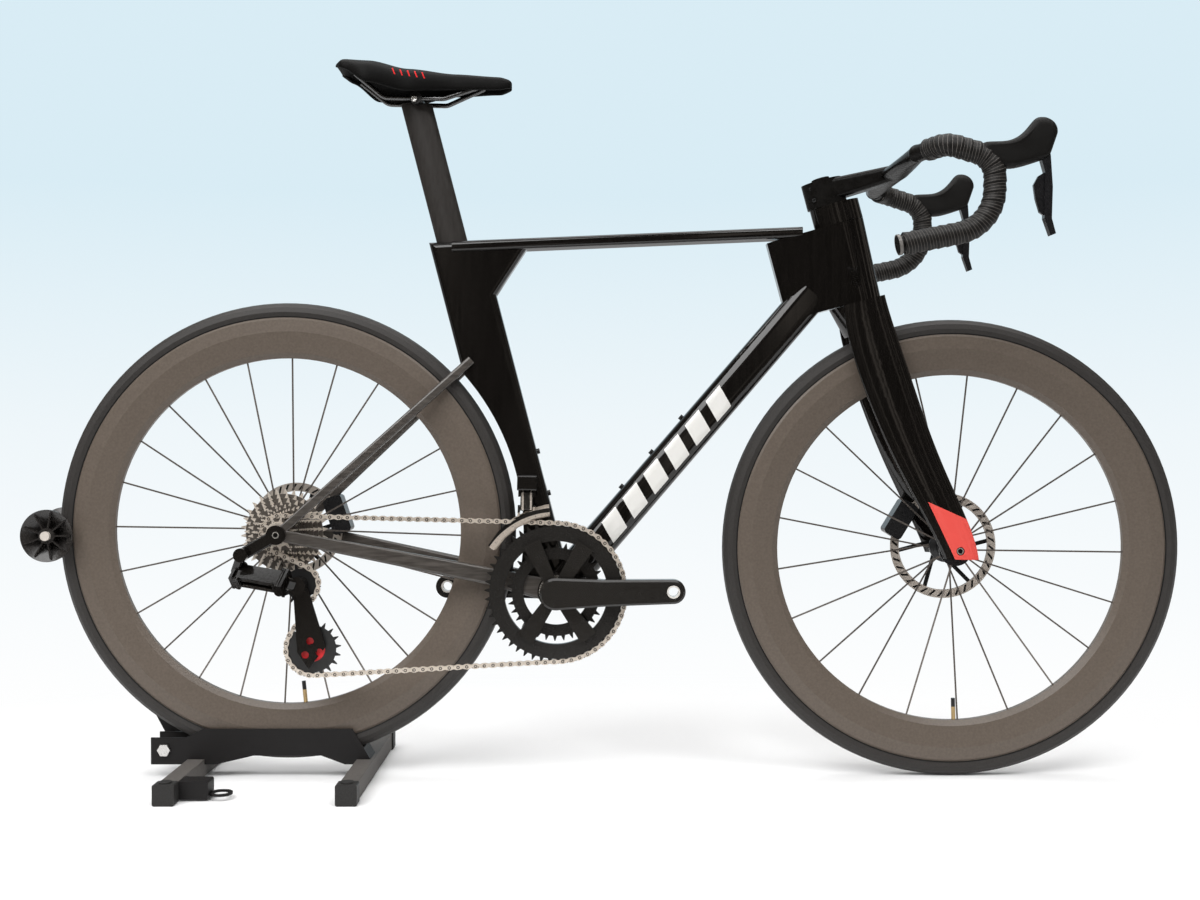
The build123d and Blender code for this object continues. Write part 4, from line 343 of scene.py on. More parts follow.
socket_bolt("saddle_clamp_bolt", at(*CLAMP_BOLT), RIGHTWARDS, 0.0046, 0.002, bright_steel,
            "frame_on_stand")
rail_metal = Finish("rail_metal", (0.12, 0.12, 0.12), (0.2, 0.35), grain=300.0, relief=0.00005, metal=1.0)
rail_metal.on("saddle_rails")

# Fork: one carbon moulding with steerer, crown and two blades in the frame's lacquer, turning in the headset.
# The outer face of each blade's end carries a plain red panel with a slanted upper edge.
PANEL_REAR = Vector((0.4702, 0, 0.4101))
PANEL_FRONT = Vector((0.5215, 0, 0.3870))
PANEL_FOOT = Vector((0.5068, 0, 0.3295))
BLADE_FACE, PANEL_RED = 0.0505, (0.72, 0.085, 0.07)
fork_lacquer = lacquer("fork_lacquer")
_, above_edge = along_line(fork_lacquer, PANEL_REAR, PANEL_FRONT)
_, behind_edge = along_line(fork_lacquer, PANEL_FOOT, PANEL_REAR)
_, y, _ = fork_lacquer.axes()
panel = fork_lacquer.all_of(fork_lacquer.under(above_edge, 0.0), fork_lacquer.under(behind_edge, 0.0),
                            fork_lacquer.over(fork_lacquer.maths("ABSOLUTE", y), BLADE_FACE))
fork_lacquer.paint(panel, PANEL_RED)
fork_lacquer.on("fork")

# Stem and bar: one carbon moulding with a satin black face. Two bolts at its back clamp it on the steerer,
# and a round cap closes the steerer's top.
STEM_BOLTS = {"stem_bolt_upper": (0.3062, -0.0125, 0.8690), "stem_bolt_lower": (0.3102, -0.0155, 0.8520)}
STEERER_LOW, STEERER_HIGH, CAP_FOOT = (777.33, 0, 881.70), (773.07, 0, 896.08), (778.5, 0, 877.8)
bar_satin = Finish("bar_satin", (0.0055, 0.005, 0.0045), (0.24, 0.36), grain=160.0, relief=0.00004, shade=0.4,
                   shine=0.12)
bar_satin.on("handlebar")
for name, place in STEM_BOLTS.items():
    socket_bolt(name, place, RIGHTWARDS, 0.0031, 0.0035, screw_black, "fork_and_bars")
steering = (at(*STEERER_HIGH) - at(*STEERER_LOW)).normalized()
socket_bolt("stem_cap", at(*CAP_FOOT), steering, 0.0135, 0.0045, bar_satin, "fork_and_bars")

# Bar tape and plugs: a cushioned ribbon wound from the bar's end up to the levers, each turn half over the
# last, with fine pale lines printed along it. A plastic plug pushed into the bar's end traps the tape.
DROP_CORNERS = [(896.73, 167.59, 893.32), (914.93, 200.9, 895.92), (978.83, 205.0, 877.28),
                (978.83, 207.05, 785.78), (857.68, 211.03, 758.85)]
DROP_BENDS = [24.0, 34.0, 60.0]
ROUTE_STEP, TAPE_RADIUS, TAPE_RIDGE, WRAP_PITCH, WRAP_LAP = 1.5, 14.3, 1.3, 12.5, 0.86
TAPE_SIDES = 40
PLUG_MIDDLE, PLUG_FACE, PLUG_PALE = 0.211, 0.0124, (0.16, 0.15, 0.14)
LINES_PER_TURN, LINE_SHARE, LINE_STRENGTH, LINE_SINK = 3.0, 0.12, 0.75, -0.4
LINE_PALE, LAP_SHADE_START, LAP_SHADE_COLOUR, TAPE_RELIEF = (0.15, 0.137, 0.125), 0.9, (0.003, 0.003, 0.003), 0.0004


def rounded_route(corners, bends, step):
    """Points about a step apart along straight runs joined by arcs."""
    points, start = [], Vector(corners[0])
    for k, radius in enumerate(bends):
        corner, after = Vector(corners[k + 1]), Vector(corners[k + 2])
        into, out = (corner - start).normalized(), (after - corner).normalized()
        angle = into.angle(out)
        cut = radius * abs(sin(angle / 2) / cos(angle / 2))
        first, last = corner - into * cut, corner + out * cut
        count = max(2, int((first - start).length / step))
        points += [start.lerp(first, i / count) for i in range(count)]
        centre = first + (out - into * out.dot(into)).normalized() * radius
        arc = max(2, int(radius * angle / step))
        spoke, fore = first - centre, into * radius
        points += [centre + spoke * cos(angle * i / arc) + fore * sin(angle * i / arc) for i in range(arc)]
        start = last
    end = Vector(corners[-1])
    count = max(2, int((end - start).length / step))
    return points + [start.lerp(end, i / count) for i in range(count + 1)]


def wound_tube(name, points):
    """A tube along the points whose skin steps outwards along a helix, as overlapped tape does."""
    bpy.ops.object.select_all(action="DESELECT")
    bpy.ops.mesh.primitive_circle_add(vertices=TAPE_SIDES, radius=TAPE_RADIUS)
    tube = bpy.context.object
    tube.name = name
    verts, faces, lengths, last = [], [], [0.0], len(points) - 1
    for a, b in zip(points, points[1:]):
        lengths.append(lengths[-1] + (b - a).length)
    side = Vector((0, 1, 0))
    for k, point in enumerate(points):
        tangent = (points[min(k + 1, last)] - points[max(k - 1, 0)]).normalized()
        side = (side - tangent * side.dot(tangent)).normalized()
        up = tangent.cross(side)
        for i in range(TAPE_SIDES):
            turn = 2 * pi * i / TAPE_SIDES
            phase = (lengths[k] / WRAP_PITCH - i / TAPE_SIDES) % 1.0
            lap = min(phase / WRAP_LAP, 1.0) - max(phase - WRAP_LAP, 0) / (1 - WRAP_LAP)
            swell = TAPE_RADIUS + TAPE_RIDGE * (lap - 1 if k in (0, last) else lap)
            verts.append(point + (side * cos(turn) + up * sin(turn)) * swell)
    for k in range(last):
        near, far = k * TAPE_SIDES, (k + 1) * TAPE_SIDES
        for i in range(TAPE_SIDES):
            j = (i + 1) % TAPE_SIDES
            faces.append((near + i, near + j, far + j, far + i))
    for k in (0, last):
        ring = [k * TAPE_SIDES + i for i in range(TAPE_SIDES)]
        faces.append(ring if k else ring[::-1])
    tube.data.clear_geometry()
    tube.data.from_pydata([at(*p) for p in verts], [], faces)
    layer = tube.data.uv_layers.new(name="wrap")
    for poly in tube.data.polygons:
        for corner in poly.loop_indices:
            k, i = divmod(tube.data.loops[corner].vertex_index, TAPE_SIDES)
            closing = i == 0 and poly.index % TAPE_SIDES == TAPE_SIDES - 1
            layer.data[corner].uv = (lengths[k] / WRAP_PITCH, 1.0 if closing else i / TAPE_SIDES)
    bpy.ops.object.mode_set(mode="EDIT")
    bpy.ops.mesh.select_all(action="SELECT")
    bpy.ops.mesh.normals_make_consistent(inside=False)
    bpy.ops.object.mode_set(mode="OBJECT")
    bpy.ops.object.shade_smooth_by_angle(angle=radians(50))
    return tube


tape_skin = Finish("tape_skin", (0.0085, 0.0075, 0.0067), (0.4, 0.55), grain=1500.0, relief=TAPE_RELIEF,
                   shade=0.5, shine=0.25)
along, around, _ = tape_skin.axes(tape_skin.add("UVMap", uv_map="wrap").outputs["UV"])
phase = tape_skin.maths("FRACT", tape_skin.maths("SUBTRACT", along, around))
beat = tape_skin.maths("FRACT", tape_skin.maths("MULTIPLY", phase, LINES_PER_TURN))
lines = tape_skin.under(beat, LINE_SHARE)
tape_skin.paint(tape_skin.maths("MULTIPLY", lines, LINE_STRENGTH), LINE_PALE)
# Painted shade: the step where each turn's edge drops onto the last is coloured near black.
tape_skin.paint(tape_skin.over(phase, LAP_SHADE_START), LAP_SHADE_COLOUR)
sunk = tape_skin.maths("MULTIPLY", lines, LINE_SINK)
tape_skin.carve(tape_skin.maths("ADD", sunk, tape_skin.height), TAPE_RELIEF)
route = rounded_route(DROP_CORNERS, DROP_BENDS, ROUTE_STEP)
for side, name in ((-1, "right_tape"), (1, "left_tape")):
    wound = wound_tube(name, [Vector((p.x, side * p.y, p.z)) for p in route])
    wound.data.materials.append(tape_skin.material)
    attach(wound, "fork_and_bars")
    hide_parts("bar_tape")
plug_black = Finish("plug_black", (0.007, 0.0065, 0.006), (0.24, 0.36), grain=160.0, relief=0.00004, shade=0.4,
                    shine=0.3)
(fore_x, _, fore_z), (end_x, _, end_z) = DROP_CORNERS[-2:]
_, across = along_line(plug_black, at(fore_x, 0, fore_z), at(end_x, 0, end_z))
_, y, _ = plug_black.axes()
sideways = plug_black.maths("SUBTRACT", plug_black.maths("ABSOLUTE", y), PLUG_MIDDLE)
plug_black.paint(plug_black.over(plug_black.length(across, sideways), PLUG_FACE), PLUG_PALE)
plug_black.on("bar_end_plugs")

# Lever bodies: moulded housings in a grained rubber hood that ends in a raised horn. A band clamps each on
# the front bend of its drop, and a gloss black brake lever with a shift paddle hangs in it on a pin.
HOOD_AT, HOOD_HALF, HOOD_CENTRE = (978.83, 205.0, 877.28), 13.0, (24.0, 12.0)
HOOD_LINE = [(-20, 21), (0, 22), (18, 23), (35, 33), (46, 48), (54, 58), (67, 58), (80, 51), (83, 38),
             (78, 22), (72, 2), (56, -4), (34, -12), (16, -16), (2, -12), (-14, -4), (-22, 8)]
SIDE_LENGTH, SIDE_HEIGHT, HORN_NARROW, HORN_START, HOOD_EDGE = 0.93, 0.86, 0.86, 40, 7.0


def hood(name, side):
    """A cushion-edged body: the side outline drawn out twice from its right face to its left, then softened."""
    bpy.ops.object.select_all(action="DESELECT")
    bpy.ops.mesh.primitive_circle_add(vertices=len(HOOD_LINE), radius=1.0, fill_type="NGON")
    body = bpy.context.object
    body.name = name
    for v, (x, z) in zip(body.data.vertices, HOOD_LINE):
        v.co = Vector((x, -HOOD_HALF, z))
    bpy.ops.object.mode_set(mode="EDIT")
    bpy.ops.mesh.select_all(action="SELECT")
    for _ in range(2):
        bpy.ops.mesh.extrude_region_move(TRANSFORM_OT_translate={"value": (0, HOOD_HALF, 0)})
    bpy.ops.mesh.select_all(action="SELECT")
    bpy.ops.mesh.normals_make_consistent(inside=False)
    bpy.ops.object.mode_set(mode="OBJECT")
    for v in body.data.vertices:
        if abs(v.co.y) > HOOD_HALF - 1:
            v.co.x = HOOD_CENTRE[0] + (v.co.x - HOOD_CENTRE[0]) * SIDE_LENGTH
            v.co.z = HOOD_CENTRE[1] + (v.co.z - HOOD_CENTRE[1]) * SIDE_HEIGHT
            v.co.y *= HORN_NARROW if v.co.x > HORN_START else 1.0
        else:
            v.co.y = 0
    edge = body.modifiers.new("edge", "BEVEL")
    edge.width, edge.segments, edge.limit_method, edge.angle_limit = HOOD_EDGE, 3, "ANGLE", radians(40)
    soft = body.modifiers.new("soft", "SUBSURF")
    soft.levels = soft.render_levels = 2
    for modifier in ("edge", "soft"):
        bpy.ops.object.modifier_apply(modifier=modifier)
    for v in body.data.vertices:
        v.co = at(HOOD_AT[0] + v.co.x, side * HOOD_AT[1] + v.co.y, HOOD_AT[2] + v.co.z)
    bpy.ops.object.shade_smooth()
    return body


hood_rubber = Finish("hood_rubber", (0.007, 0.0065, 0.006), (0.42, 0.58), grain=1600.0, relief=0.0003,
                     shade=0.4, shine=0.15)
for side, name in ((-1, "right_hood"), (1, "left_hood")):
    cover = hood(name, side)
    cover.data.materials.append(hood_rubber.material)
    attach(cover, "fork_and_bars")
    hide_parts("lever_bodies")
lever_gloss = Finish("lever_gloss", (0.01, 0.01, 0.011), (0.14, 0.24), grain=200.0, relief=0.0001)
lever_gloss.on("right_brake_lever", "left_brake_lever", "right_shift_paddle", "left_shift_paddle")

# Wheels: deep moulded rims with a brass valve, black bladed spokes on machined hubs, slim tyres with a finely
# cut tread, and slotted steel rotors on black carriers. A screwed thru-axle holds each wheel.
REAR_AXLE, FRONT_AXLE = at(0, 0, AXLE_HEIGHT), at(WHEELBASE, 0, AXLE_HEIGHT)
AXLE_RING, SHADED_SOCKET_RADIUS, AXLE_BRIGHT = (0.0036, 0.0047), 0.0033, (0.5, 0.47, 0.43)
RIM_INNER, VALVE_CAP, BRASS = 0.2565, 0.2375, (0.5, 0.36, 0.18)
TREAD_CUTS, CUT_SHARE, TREAD_LEAN, TREAD_BAND = 60.0, 0.16, 900.0, (0.0045, 0.0105)
TREAD_DEPTH, TREAD_GRAIN, SHADED_BEAD_RADIUS = 0.0006, 0.2, 0.3188
ROTOR_SLOTS, SLOT_SHARE, ROTOR_LEAN, ROTOR_BAND = 36, 0.3, 60.0, (0.002, 0.011)
FRONT_CARRIER, REAR_CARRIER = 0.067, 0.057


def angle_round(finish, axle):
    """A socket for the angle round an axle that runs across the bicycle."""
    forward, up = way_from(finish, axle)
    return finish.maths("ARCTAN2", up, forward)


for axle, end, carrier in ((FRONT_AXLE, "front", FRONT_CARRIER), (REAR_AXLE, "rear", REAR_CARRIER)):
    axle_black = Finish(end + "_axle_black", (0.02, 0.019, 0.018), (0.2, 0.32), grain=400.0, relief=0.00005,
                        metal=0.5)
    far = far_from(axle_black, axle)
    axle_black.paint(axle_black.between(far, *AXLE_RING), AXLE_BRIGHT)
    # Painted shade: the socket in the axle's end is coloured near black, for the shade in its recess.
    axle_black.paint(axle_black.under(far, SHADED_SOCKET_RADIUS), (0.002, 0.002, 0.002))
    axle_black.on(end + "_axle")
    rim_face = Finish(end + "_rim_laminate", (0.114, 0.0915, 0.0735), (0.3, 0.42), grain=300.0, relief=0.00005,
                      shade=0.25, shine=0.35)
    far = far_from(rim_face, axle)
    valve = rim_face.under(far, RIM_INNER)
    rim_face.paint(valve, BRASS)
    rim_face.paint(rim_face.under(far, VALVE_CAP), (0.01, 0.01, 0.01))
    rim_face.feed("Metallic", rim_face.all_of(valve, rim_face.over(far, VALVE_CAP)))
    rim_face.on(end + "_rim")
    rubber = Finish(end + "_tyre_rubber", (0.032, 0.029, 0.027), (0.42, 0.6), grain=500.0, relief=TREAD_DEPTH,
                    shade=0.4, shine=0.3)
    _, y, _ = rubber.axes()
    aside = rubber.maths("ABSOLUTE", y)
    lean = rubber.maths("ADD", rubber.maths("MULTIPLY", angle_round(rubber, axle), TREAD_CUTS),
                        rubber.maths("MULTIPLY", aside, TREAD_LEAN))
    cut = rubber.under(rubber.maths("FRACT", rubber.maths("DIVIDE", lean, 2 * pi)), CUT_SHARE)
    groove = rubber.all_of(cut, rubber.between(aside, *TREAD_BAND))
    fine = rubber.maths("MULTIPLY", rubber.height, TREAD_GRAIN)
    rubber.carve(rubber.maths("SUBTRACT", fine, groove), TREAD_DEPTH)
    # Painted shade: a thin near-black line on the tyre just above the rim's flange, for the shade where they
    # meet.
    rubber.paint(rubber.under(far_from(rubber, axle), SHADED_BEAD_RADIUS), (0.003, 0.003, 0.003))
    rubber.on(end + "_tyre")
    disc_steel = Finish(end + "_rotor_steel", (0.6, 0.54, 0.48), (0.3, 0.42), grain=60.0, relief=0.00002,
                        metal=0.7, shade=0.1)
    far = far_from(disc_steel, axle)
    turns = disc_steel.maths("MULTIPLY", angle_round(disc_steel, axle), ROTOR_SLOTS / (2 * pi))
    lean = disc_steel.maths("MULTIPLY", far, ROTOR_LEAN)
    beat = disc_steel.maths("FRACT", disc_steel.maths("ADD", turns, lean))
    slots = disc_steel.all_of(disc_steel.between(beat, 0.0, SLOT_SHARE),
                              disc_steel.between(far, *(carrier + edge for edge in ROTOR_BAND)))
    disc_steel.paint(slots, (0.01, 0.01, 0.01))
    disc_steel.paint(disc_steel.under(far, carrier), (0.012, 0.012, 0.012))
    disc_steel.on(end + "_rotor")
    spoke_steel = Finish(end + "_spoke_steel", (0.16, 0.14, 0.125), (0.25, 0.38), grain=300.0, relief=0.00005,
                         metal=0.6)
    spoke_steel.on(end + "_spokes")
    hub_alloy = Finish(end + "_hub_alloy", (0.02, 0.02, 0.021), (0.25, 0.38), grain=500.0, relief=0.0001,
                       metal=0.5)
    hub_alloy.on(end + "_hub", end + "_caliper")

# Chain: plated steel side plates and rollers, riveted together with pins. Round the end of each pin a dark ring
# is painted on the plate as shade in its dimple, with the pale end of the pin left inside it, so every plate
# has its own small map, in pitches from its middle.
LINK_PITCH, PLATE_REACH = 0.0127, 0.7
SHADED_DIMPLE_RADIUS, PIN_END = 0.19, 0.1


def separate_solids(mesh):
    """Lists of polygons, one for each closed solid of a mesh, found through the corners that faces share."""
    seen, lead = {}, list(range(len(mesh.vertices)))
    same = [seen.setdefault(tuple(round(c * 1e6) for c in v.co), k) for k, v in enumerate(mesh.vertices)]

    def first_of(k):
        while lead[k] != k:
            lead[k] = lead[lead[k]]
            k = lead[k]
        return k

    for poly in mesh.polygons:
        for v in poly.vertices[1:]:
            lead[first_of(same[v])] = first_of(same[poly.vertices[0]])
    solids = {}
    for poly in mesh.polygons:
        solids.setdefault(first_of(same[poly.vertices[0]]), []).append(poly)
    return solids.values()


links = node["chain"].data
layer = links.uv_layers.new(name="link")
for solid in separate_solids(links):
    corners = {tuple(links.vertices[v].co) for poly in solid for v in poly.vertices}
    middle = sum((Vector(c) for c in corners), Vector()) / len(corners)
    ways = [(c[0] - middle.x, c[2] - middle.z) for c in corners]
    lean = atan2(2 * sum(a * b for a, b in ways), sum(a * a - b * b for a, b in ways)) / 2
    lie, rise = Vector((cos(lean), 0, sin(lean))), Vector((-sin(lean), 0, cos(lean)))
    is_plate = max(abs(a * lie.x + b * lie.z) for a, b in ways) > PLATE_REACH * LINK_PITCH
    for poly in solid:
        for corner in poly.loop_indices:
            way = links.vertices[links.loops[corner].vertex_index].co - middle
            here = (way.dot(lie) / LINK_PITCH, way.dot(rise) / LINK_PITCH)
            layer.data[corner].uv = here if is_plate else (0.0, 1.0)
chain_steel = Finish("chain_steel", (0.74, 0.66, 0.57), (0.25, 0.4), grain=200.0, relief=0.00002, metal=0.6,
                     shade=0.1)
along, across, _ = chain_steel.axes(chain_steel.add("UVMap", uv_map="link").outputs["UV"])
off_pin = chain_steel.maths("SUBTRACT", chain_steel.maths("ABSOLUTE", along), 0.5)
from_pin = chain_steel.length(off_pin, across)
# Painted shade: the dark ring round each pin's end is the dimple's shade; the pin's end inside it keeps pale
# steel.
chain_steel.paint(chain_steel.under(from_pin, SHADED_DIMPLE_RADIUS), (0.05, 0.043, 0.037))
chain_steel.paint(chain_steel.under(from_pin, PIN_END), (0.6, 0.53, 0.46))
chain_steel.on("chain")

# Cassette: twelve plated steel cogs stacked on the freehub body and held by a lock ring. Below its teeth each
# cog lies in the shade of the next smaller one, so it is darker there.
COG_TEETH = [11, 12, 13, 14, 15, 16, 17, 19, 21, 24, 27, 30]
COG_FIRST, COG_STEP, TOOTH_RISE = -0.066, 0.00355, 0.002
RADIUS_SCALE = 10.0
cog_steel = Finish("cog_steel", (0.8, 0.72, 0.63), (0.25, 0.4), grain=200.0, relief=0.00002, metal=0.6,
                   shade=0.1)
_, y, _ = cog_steel.axes()
from_first = cog_steel.maths("SUBTRACT", y, COG_FIRST - COG_STEP / 2)
place = cog_steel.maths("DIVIDE", from_first, COG_STEP * len(COG_TEETH))
next_smaller = cog_steel.add("ValToRGB", {"Fac": place})
steps = next_smaller.color_ramp
steps.interpolation = "CONSTANT"
steps.elements.remove(steps.elements[1])
for k, teeth in enumerate(COG_TEETH[:-1]):
    edge = RADIUS_SCALE * (LINK_PITCH / 2 / sin(pi / teeth) + TOOTH_RISE)
    steps.elements.new((k + 1) / len(COG_TEETH)).color = (edge, edge, edge, 1)
far = cog_steel.maths("MULTIPLY", far_from(cog_steel, REAR_AXLE), RADIUS_SCALE)
cog_steel.paint(cog_steel.under(far, next_smaller.outputs["Color"]), (0.16, 0.142, 0.125))
cog_steel.on("cassette")

# Cranks and rings: forged alloy arms in gloss black with a bright thread for the pedal, on a steel spindle.
# The two black toothed rings are bolted to the right arm's spider.
PEDAL_HOLES = {"right_crank": Vector((0.100707, 0, 0.281139)), "left_crank": Vector((-0.239223, 0, 0.274272))}
PEDAL_SEAT, THREAD_PALE = 0.0094, (0.62, 0.59, 0.55)
for arm, hole in PEDAL_HOLES.items():
    crank_gloss = Finish(arm + "_gloss", (0.014, 0.0128, 0.0115), (0.12, 0.22), grain=120.0, relief=0.00004)
    crank_gloss.paint(crank_gloss.under(far_from(crank_gloss, hole), PEDAL_SEAT), THREAD_PALE)
    crank_gloss.on(arm)
ring_black = Finish("ring_black", (0.014, 0.013, 0.012), (0.16, 0.26), grain=400.0, relief=0.00005)
ring_black.on("big_chainring", "small_chainring")

# Derailleurs: gloss black motor housings and links, pinned together. The front one, screwed to the seat tube,
# has a pale metal cage. The rear one hangs from the frame's hanger and has plastic pulleys, the lower one
# part red.
TENSION_AXLE, PULLEY_RED = (51.4, 0, 173.6), (0.6, 0.012, 0.016)
PULLEY_BAND = (0.0075, 0.0185)
BRACKET_AXLE, SHADED_CAGE_BAND, CAGE_TOP = (401.88, 0, 263), (0.1175, 0.1235), 0.1285
LINK_MIDDLE, LINK_EDGE_HIGHLIGHTS = (355.88, 0, 406), (0.0045, 0.0075)
derailleur_black = Finish("derailleur_black", (0.0055, 0.0048, 0.0042), (0.08, 0.16), grain=300.0,
                          relief=0.00005)
derailleur_black.on("rd_body", "rd_outer_link", "rd_inner_link", "rd_knuckle", "rd_cage", "fd_body")
pulley_plastic = Finish("pulley_plastic", (0.01, 0.01, 0.01), (0.35, 0.5), grain=500.0, relief=0.0001,
                        shine=0.25)
pulley_plastic.on("upper_pulley")
tension_pulley = Finish("tension_pulley", (0.012, 0.012, 0.012), (0.35, 0.5), grain=500.0, relief=0.0001)
far = far_from(tension_pulley, at(*TENSION_AXLE))
tension_pulley.paint(tension_pulley.between(far, *PULLEY_BAND), PULLEY_RED)
tension_pulley.on("lower_pulley")
pale_alloy = Finish("pale_alloy", (0.66, 0.58, 0.5), (0.25, 0.4), grain=400.0, relief=0.0001, metal=0.6)
far = far_from(pale_alloy, at(*BRACKET_AXLE))
# Painted shade: a dark band across the pale cage stands in for the shaded gap in it.
pale_alloy.paint(pale_alloy.between(far, *SHADED_CAGE_BAND), (0.02, 0.018, 0.016))
pale_alloy.paint(pale_alloy.over(far, CAGE_TOP), (0.025, 0.023, 0.021))
pale_alloy.on("fd_cage")
link_alloy = Finish("fd_link_alloy", (0.03, 0.027, 0.024), (0.18, 0.3), grain=300.0, relief=0.00005, metal=0.5)
x, _, _ = link_alloy.axes()
from_middle = link_alloy.maths("ABSOLUTE", link_alloy.maths("SUBTRACT", x, at(*LINK_MIDDLE).x))
# Painted highlight: two pale bands along the dark link's edges, for the light that its gloss edges catch.
link_alloy.paint(link_alloy.between(from_middle, *LINK_EDGE_HIGHLIGHTS), (0.55, 0.49, 0.43))
link_alloy.on("fd_link")

# Studio floor: a wide pale sheet that takes the object's shadow. Away from the object it fades to plain
# white, and towards the back to the pale blue that the backdrop starts with.
EYE_DISTANCE, EYE_HEIGHT, HORIZON_SLOPE = 2.0365, 0.514, 0.21
SHADOW_SPREAD, SHADOW_FADE = (1.5, 0.8), (0.35, 1.0)
WHITE, PALE_BLUE, DEEP_BLUE = (1, 1, 1, 1), (0.863, 0.925, 0.957, 1), (0.694, 0.84, 0.913, 1)
bpy.ops.object.select_all(action="DESELECT")
bpy.ops.mesh.primitive_plane_add(size=30.0, location=(0, 14.1, 0))
floor = bpy.context.object
floor.name = "floor"
bpy.ops.object.transform_apply(location=True)
floor_paint = bpy.data.materials.new("pale_floor")
floor_paint.use_nodes = True
tree = floor_paint.node_tree
shader = tree.nodes["Principled BSDF"]
shader.inputs["Base Color"].default_value = (0.86, 0.86, 0.86, 1)
shader.inputs["Roughness"].default_value = 0.9
shader.inputs["Specular IOR Level"].default_value = 0.0
spot = add_node(tree, "TexCoord").outputs["Object"]
squeeze = add_node(tree, "Mapping", {"Vector": spot, "Scale": (1 / SHADOW_SPREAD[0], 1 / SHADOW_SPREAD[1], 0)})
reach = add_node(tree, "VectorMath", {0: squeeze.outputs["Vector"]}, operation="LENGTH")
fade = add_node(tree, "MapRange", {"Value": reach.outputs["Value"], "From Min": SHADOW_FADE[0],
                                   "From Max": SHADOW_FADE[1]}, interpolation_type="SMOOTHSTEP")
depth = add_node(tree, "SeparateXYZ", {"Vector": spot}).outputs["Y"]
away = add_node(tree, "Math", {0: depth, 1: EYE_DISTANCE}, operation="ADD").outputs[0]
slope = add_node(tree, "Math", {0: EYE_HEIGHT, 1: away}, operation="DIVIDE").outputs[0]
near = add_node(tree, "MapRange", {"Value": slope, "From Max": HORIZON_SLOPE}).outputs["Result"]
tint = add_node(tree, "Mix", {"Factor": near, "A": PALE_BLUE, "B": WHITE}, data_type="RGBA").outputs["Result"]
glow = add_node(tree, "Emission", {"Color": tint}).outputs[0]
camera_ray = add_node(tree, "LightPath").outputs["Is Camera Ray"]
look = add_node(tree, "Math", {0: fade.outputs["Result"], 1: camera_ray}, operation="MULTIPLY").outputs[0]
blend = add_node(tree, "MixShader", {"Fac": look, 1: shader.outputs[0], 2: glow}).outputs[0]
tree.links.new(blend, tree.nodes["Material Output"].inputs["Surface"])
floor.data.materials.append(floor_paint)

# Backdrop and room: the backdrop deepens from white at the floor to pale blue above the saddle. The room on
# the camera's side is dark with soft pale stripes, which gloss shows, and plain white light fills in all
# round.
ROOM_WARM, ROOM_STRENGTH, ROOM_EDGE = (1.0, 0.88, 0.76, 1), (0.03, 0.75), (0.45, 1.0)
STRIPE_SQUEEZE, STRIPE_SCALE, STRIPE_CUT = (9.0, 0.0, 1.6), 2.2, (0.5, 0.72)
BACKDROP_FOOT, BACKDROP_TOP, FILL_LIGHT = -0.2, 0.2, 0.35
world = bpy.data.worlds.new("studio")
bpy.context.scene.world = world
world.use_nodes = True
tree = world.node_tree
sky = tree.nodes["Background"]
sky.inputs["Color"].default_value, sky.inputs["Strength"].default_value = WHITE, FILL_LIGHT
direction = add_node(tree, "TexCoord").outputs["Generated"]
split = add_node(tree, "SeparateXYZ", {"Vector": direction})
height = add_node(tree, "MapRange", {"Value": split.outputs["Z"], "From Min": BACKDROP_FOOT,
                                     "From Max": BACKDROP_TOP})
tint = add_node(tree, "ValToRGB", {"Fac": height.outputs["Result"]})
for stop, place, colour in zip(tint.color_ramp.elements, (0.02, 0.92), (WHITE, DEEP_BLUE)):
    stop.position, stop.color = place, colour
tint.color_ramp.elements.new(0.5).color = PALE_BLUE
backdrop = add_node(tree, "Background", {"Color": tint.outputs["Color"]}).outputs[0]
stripes = add_node(tree, "Mapping", {"Vector": direction, "Scale": STRIPE_SQUEEZE})
shapes = add_node(tree, "TexNoise", {"Vector": stripes.outputs["Vector"], "Scale": STRIPE_SCALE, "Detail": 3.0})
bright = add_node(tree, "MapRange", {"Value": shapes.outputs["Fac"], "From Min": STRIPE_CUT[0],
                                     "From Max": STRIPE_CUT[1], "To Min": ROOM_STRENGTH[0],
                                     "To Max": ROOM_STRENGTH[1]}, interpolation_type="SMOOTHSTEP")
dark = add_node(tree, "Background", {"Color": ROOM_WARM, "Strength": bright.outputs["Result"]}).outputs[0]
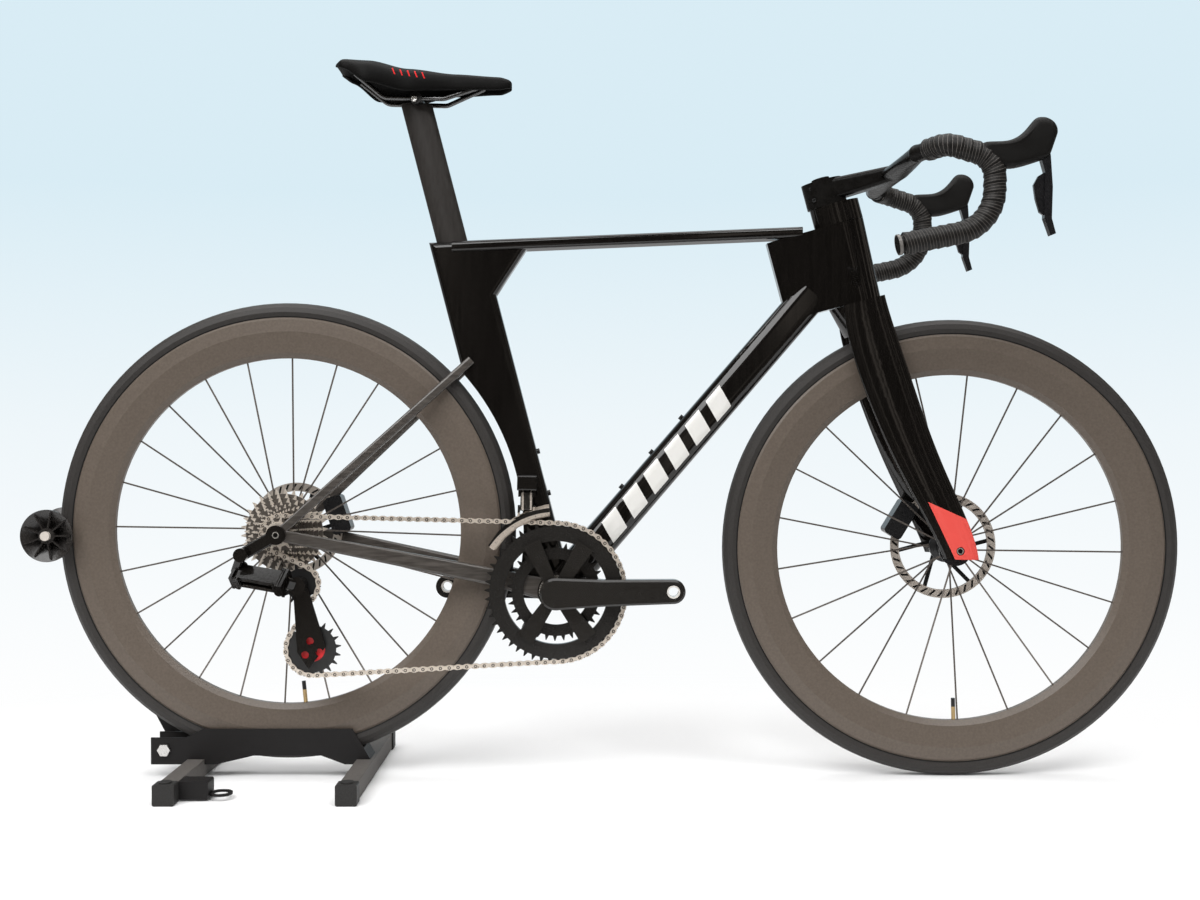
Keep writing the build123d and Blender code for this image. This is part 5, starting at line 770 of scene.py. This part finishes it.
room = add_node(tree, "MapRange", {"Value": split.outputs["Y"], "From Min": ROOM_EDGE[0],
                                   "From Max": ROOM_EDGE[1]})
mirror = add_node(tree, "MixShader", {"Fac": room.outputs["Result"], 1: dark, 2: backdrop}).outputs[0]
path = add_node(tree, "LightPath").outputs
gloss = add_node(tree, "MixShader", {"Fac": path["Is Glossy Ray"], 1: sky.outputs[0], 2: mirror}).outputs[0]
straight = add_node(tree, "Math", {0: path["Is Camera Ray"], 1: path["Is Transmission Ray"]},
                    operation="MAXIMUM")
choose = add_node(tree, "MixShader", {"Fac": straight.outputs[0], 1: gloss, 2: backdrop}).outputs[0]
tree.links.new(choose, tree.nodes["World Output"].inputs["Surface"])


# Lamps and camera: one large soft lamp over the drive side, a smaller one high on the right and one overhead.
# The camera stands where the photograph was taken.
def soft_lamp(name, place, aim, size, power):
    """A large even rectangle of light, aimed at a point."""
    data = bpy.data.lights.new(name, "AREA")
    data.shape, data.size, data.size_y, data.energy = "RECTANGLE", size[0], size[1], power
    lamp = bpy.data.objects.new(name, data)
    bpy.context.scene.collection.objects.link(lamp)
    lamp.location = place
    lamp.rotation_euler = (Vector(aim) - Vector(place)).to_track_quat("-Z", "Y").to_euler()


soft_lamp("key", (-1.6, -2.3, 3.0), aim=(0, 0, 0.5), size=(3.2, 2.2), power=120)
soft_lamp("fill", (1.3, -2.2, 3.7), aim=(0.1, 0, 0.5), size=(2.0, 1.4), power=60)
soft_lamp("top", (0, 0.4, 3.2), aim=(0, 0, 0.4), size=(4.0, 2.0), power=70)
EYE_X, EYE_DIP = -0.0051, 0.0145
eye = bpy.data.cameras.new("photo_eye")
eye.lens, eye.sensor_width, eye.dof.use_dof = 41.03, 36.0, False
camera = bpy.data.objects.new("photo_eye", eye)
bpy.context.scene.collection.objects.link(camera)
camera.location = (EYE_X, -EYE_DISTANCE, EYE_HEIGHT)
camera.rotation_euler = (radians(90) - EYE_DIP, 0, 0)
bpy.context.scene.camera = camera
bpy.context.scene.view_settings.view_transform = "Standard"
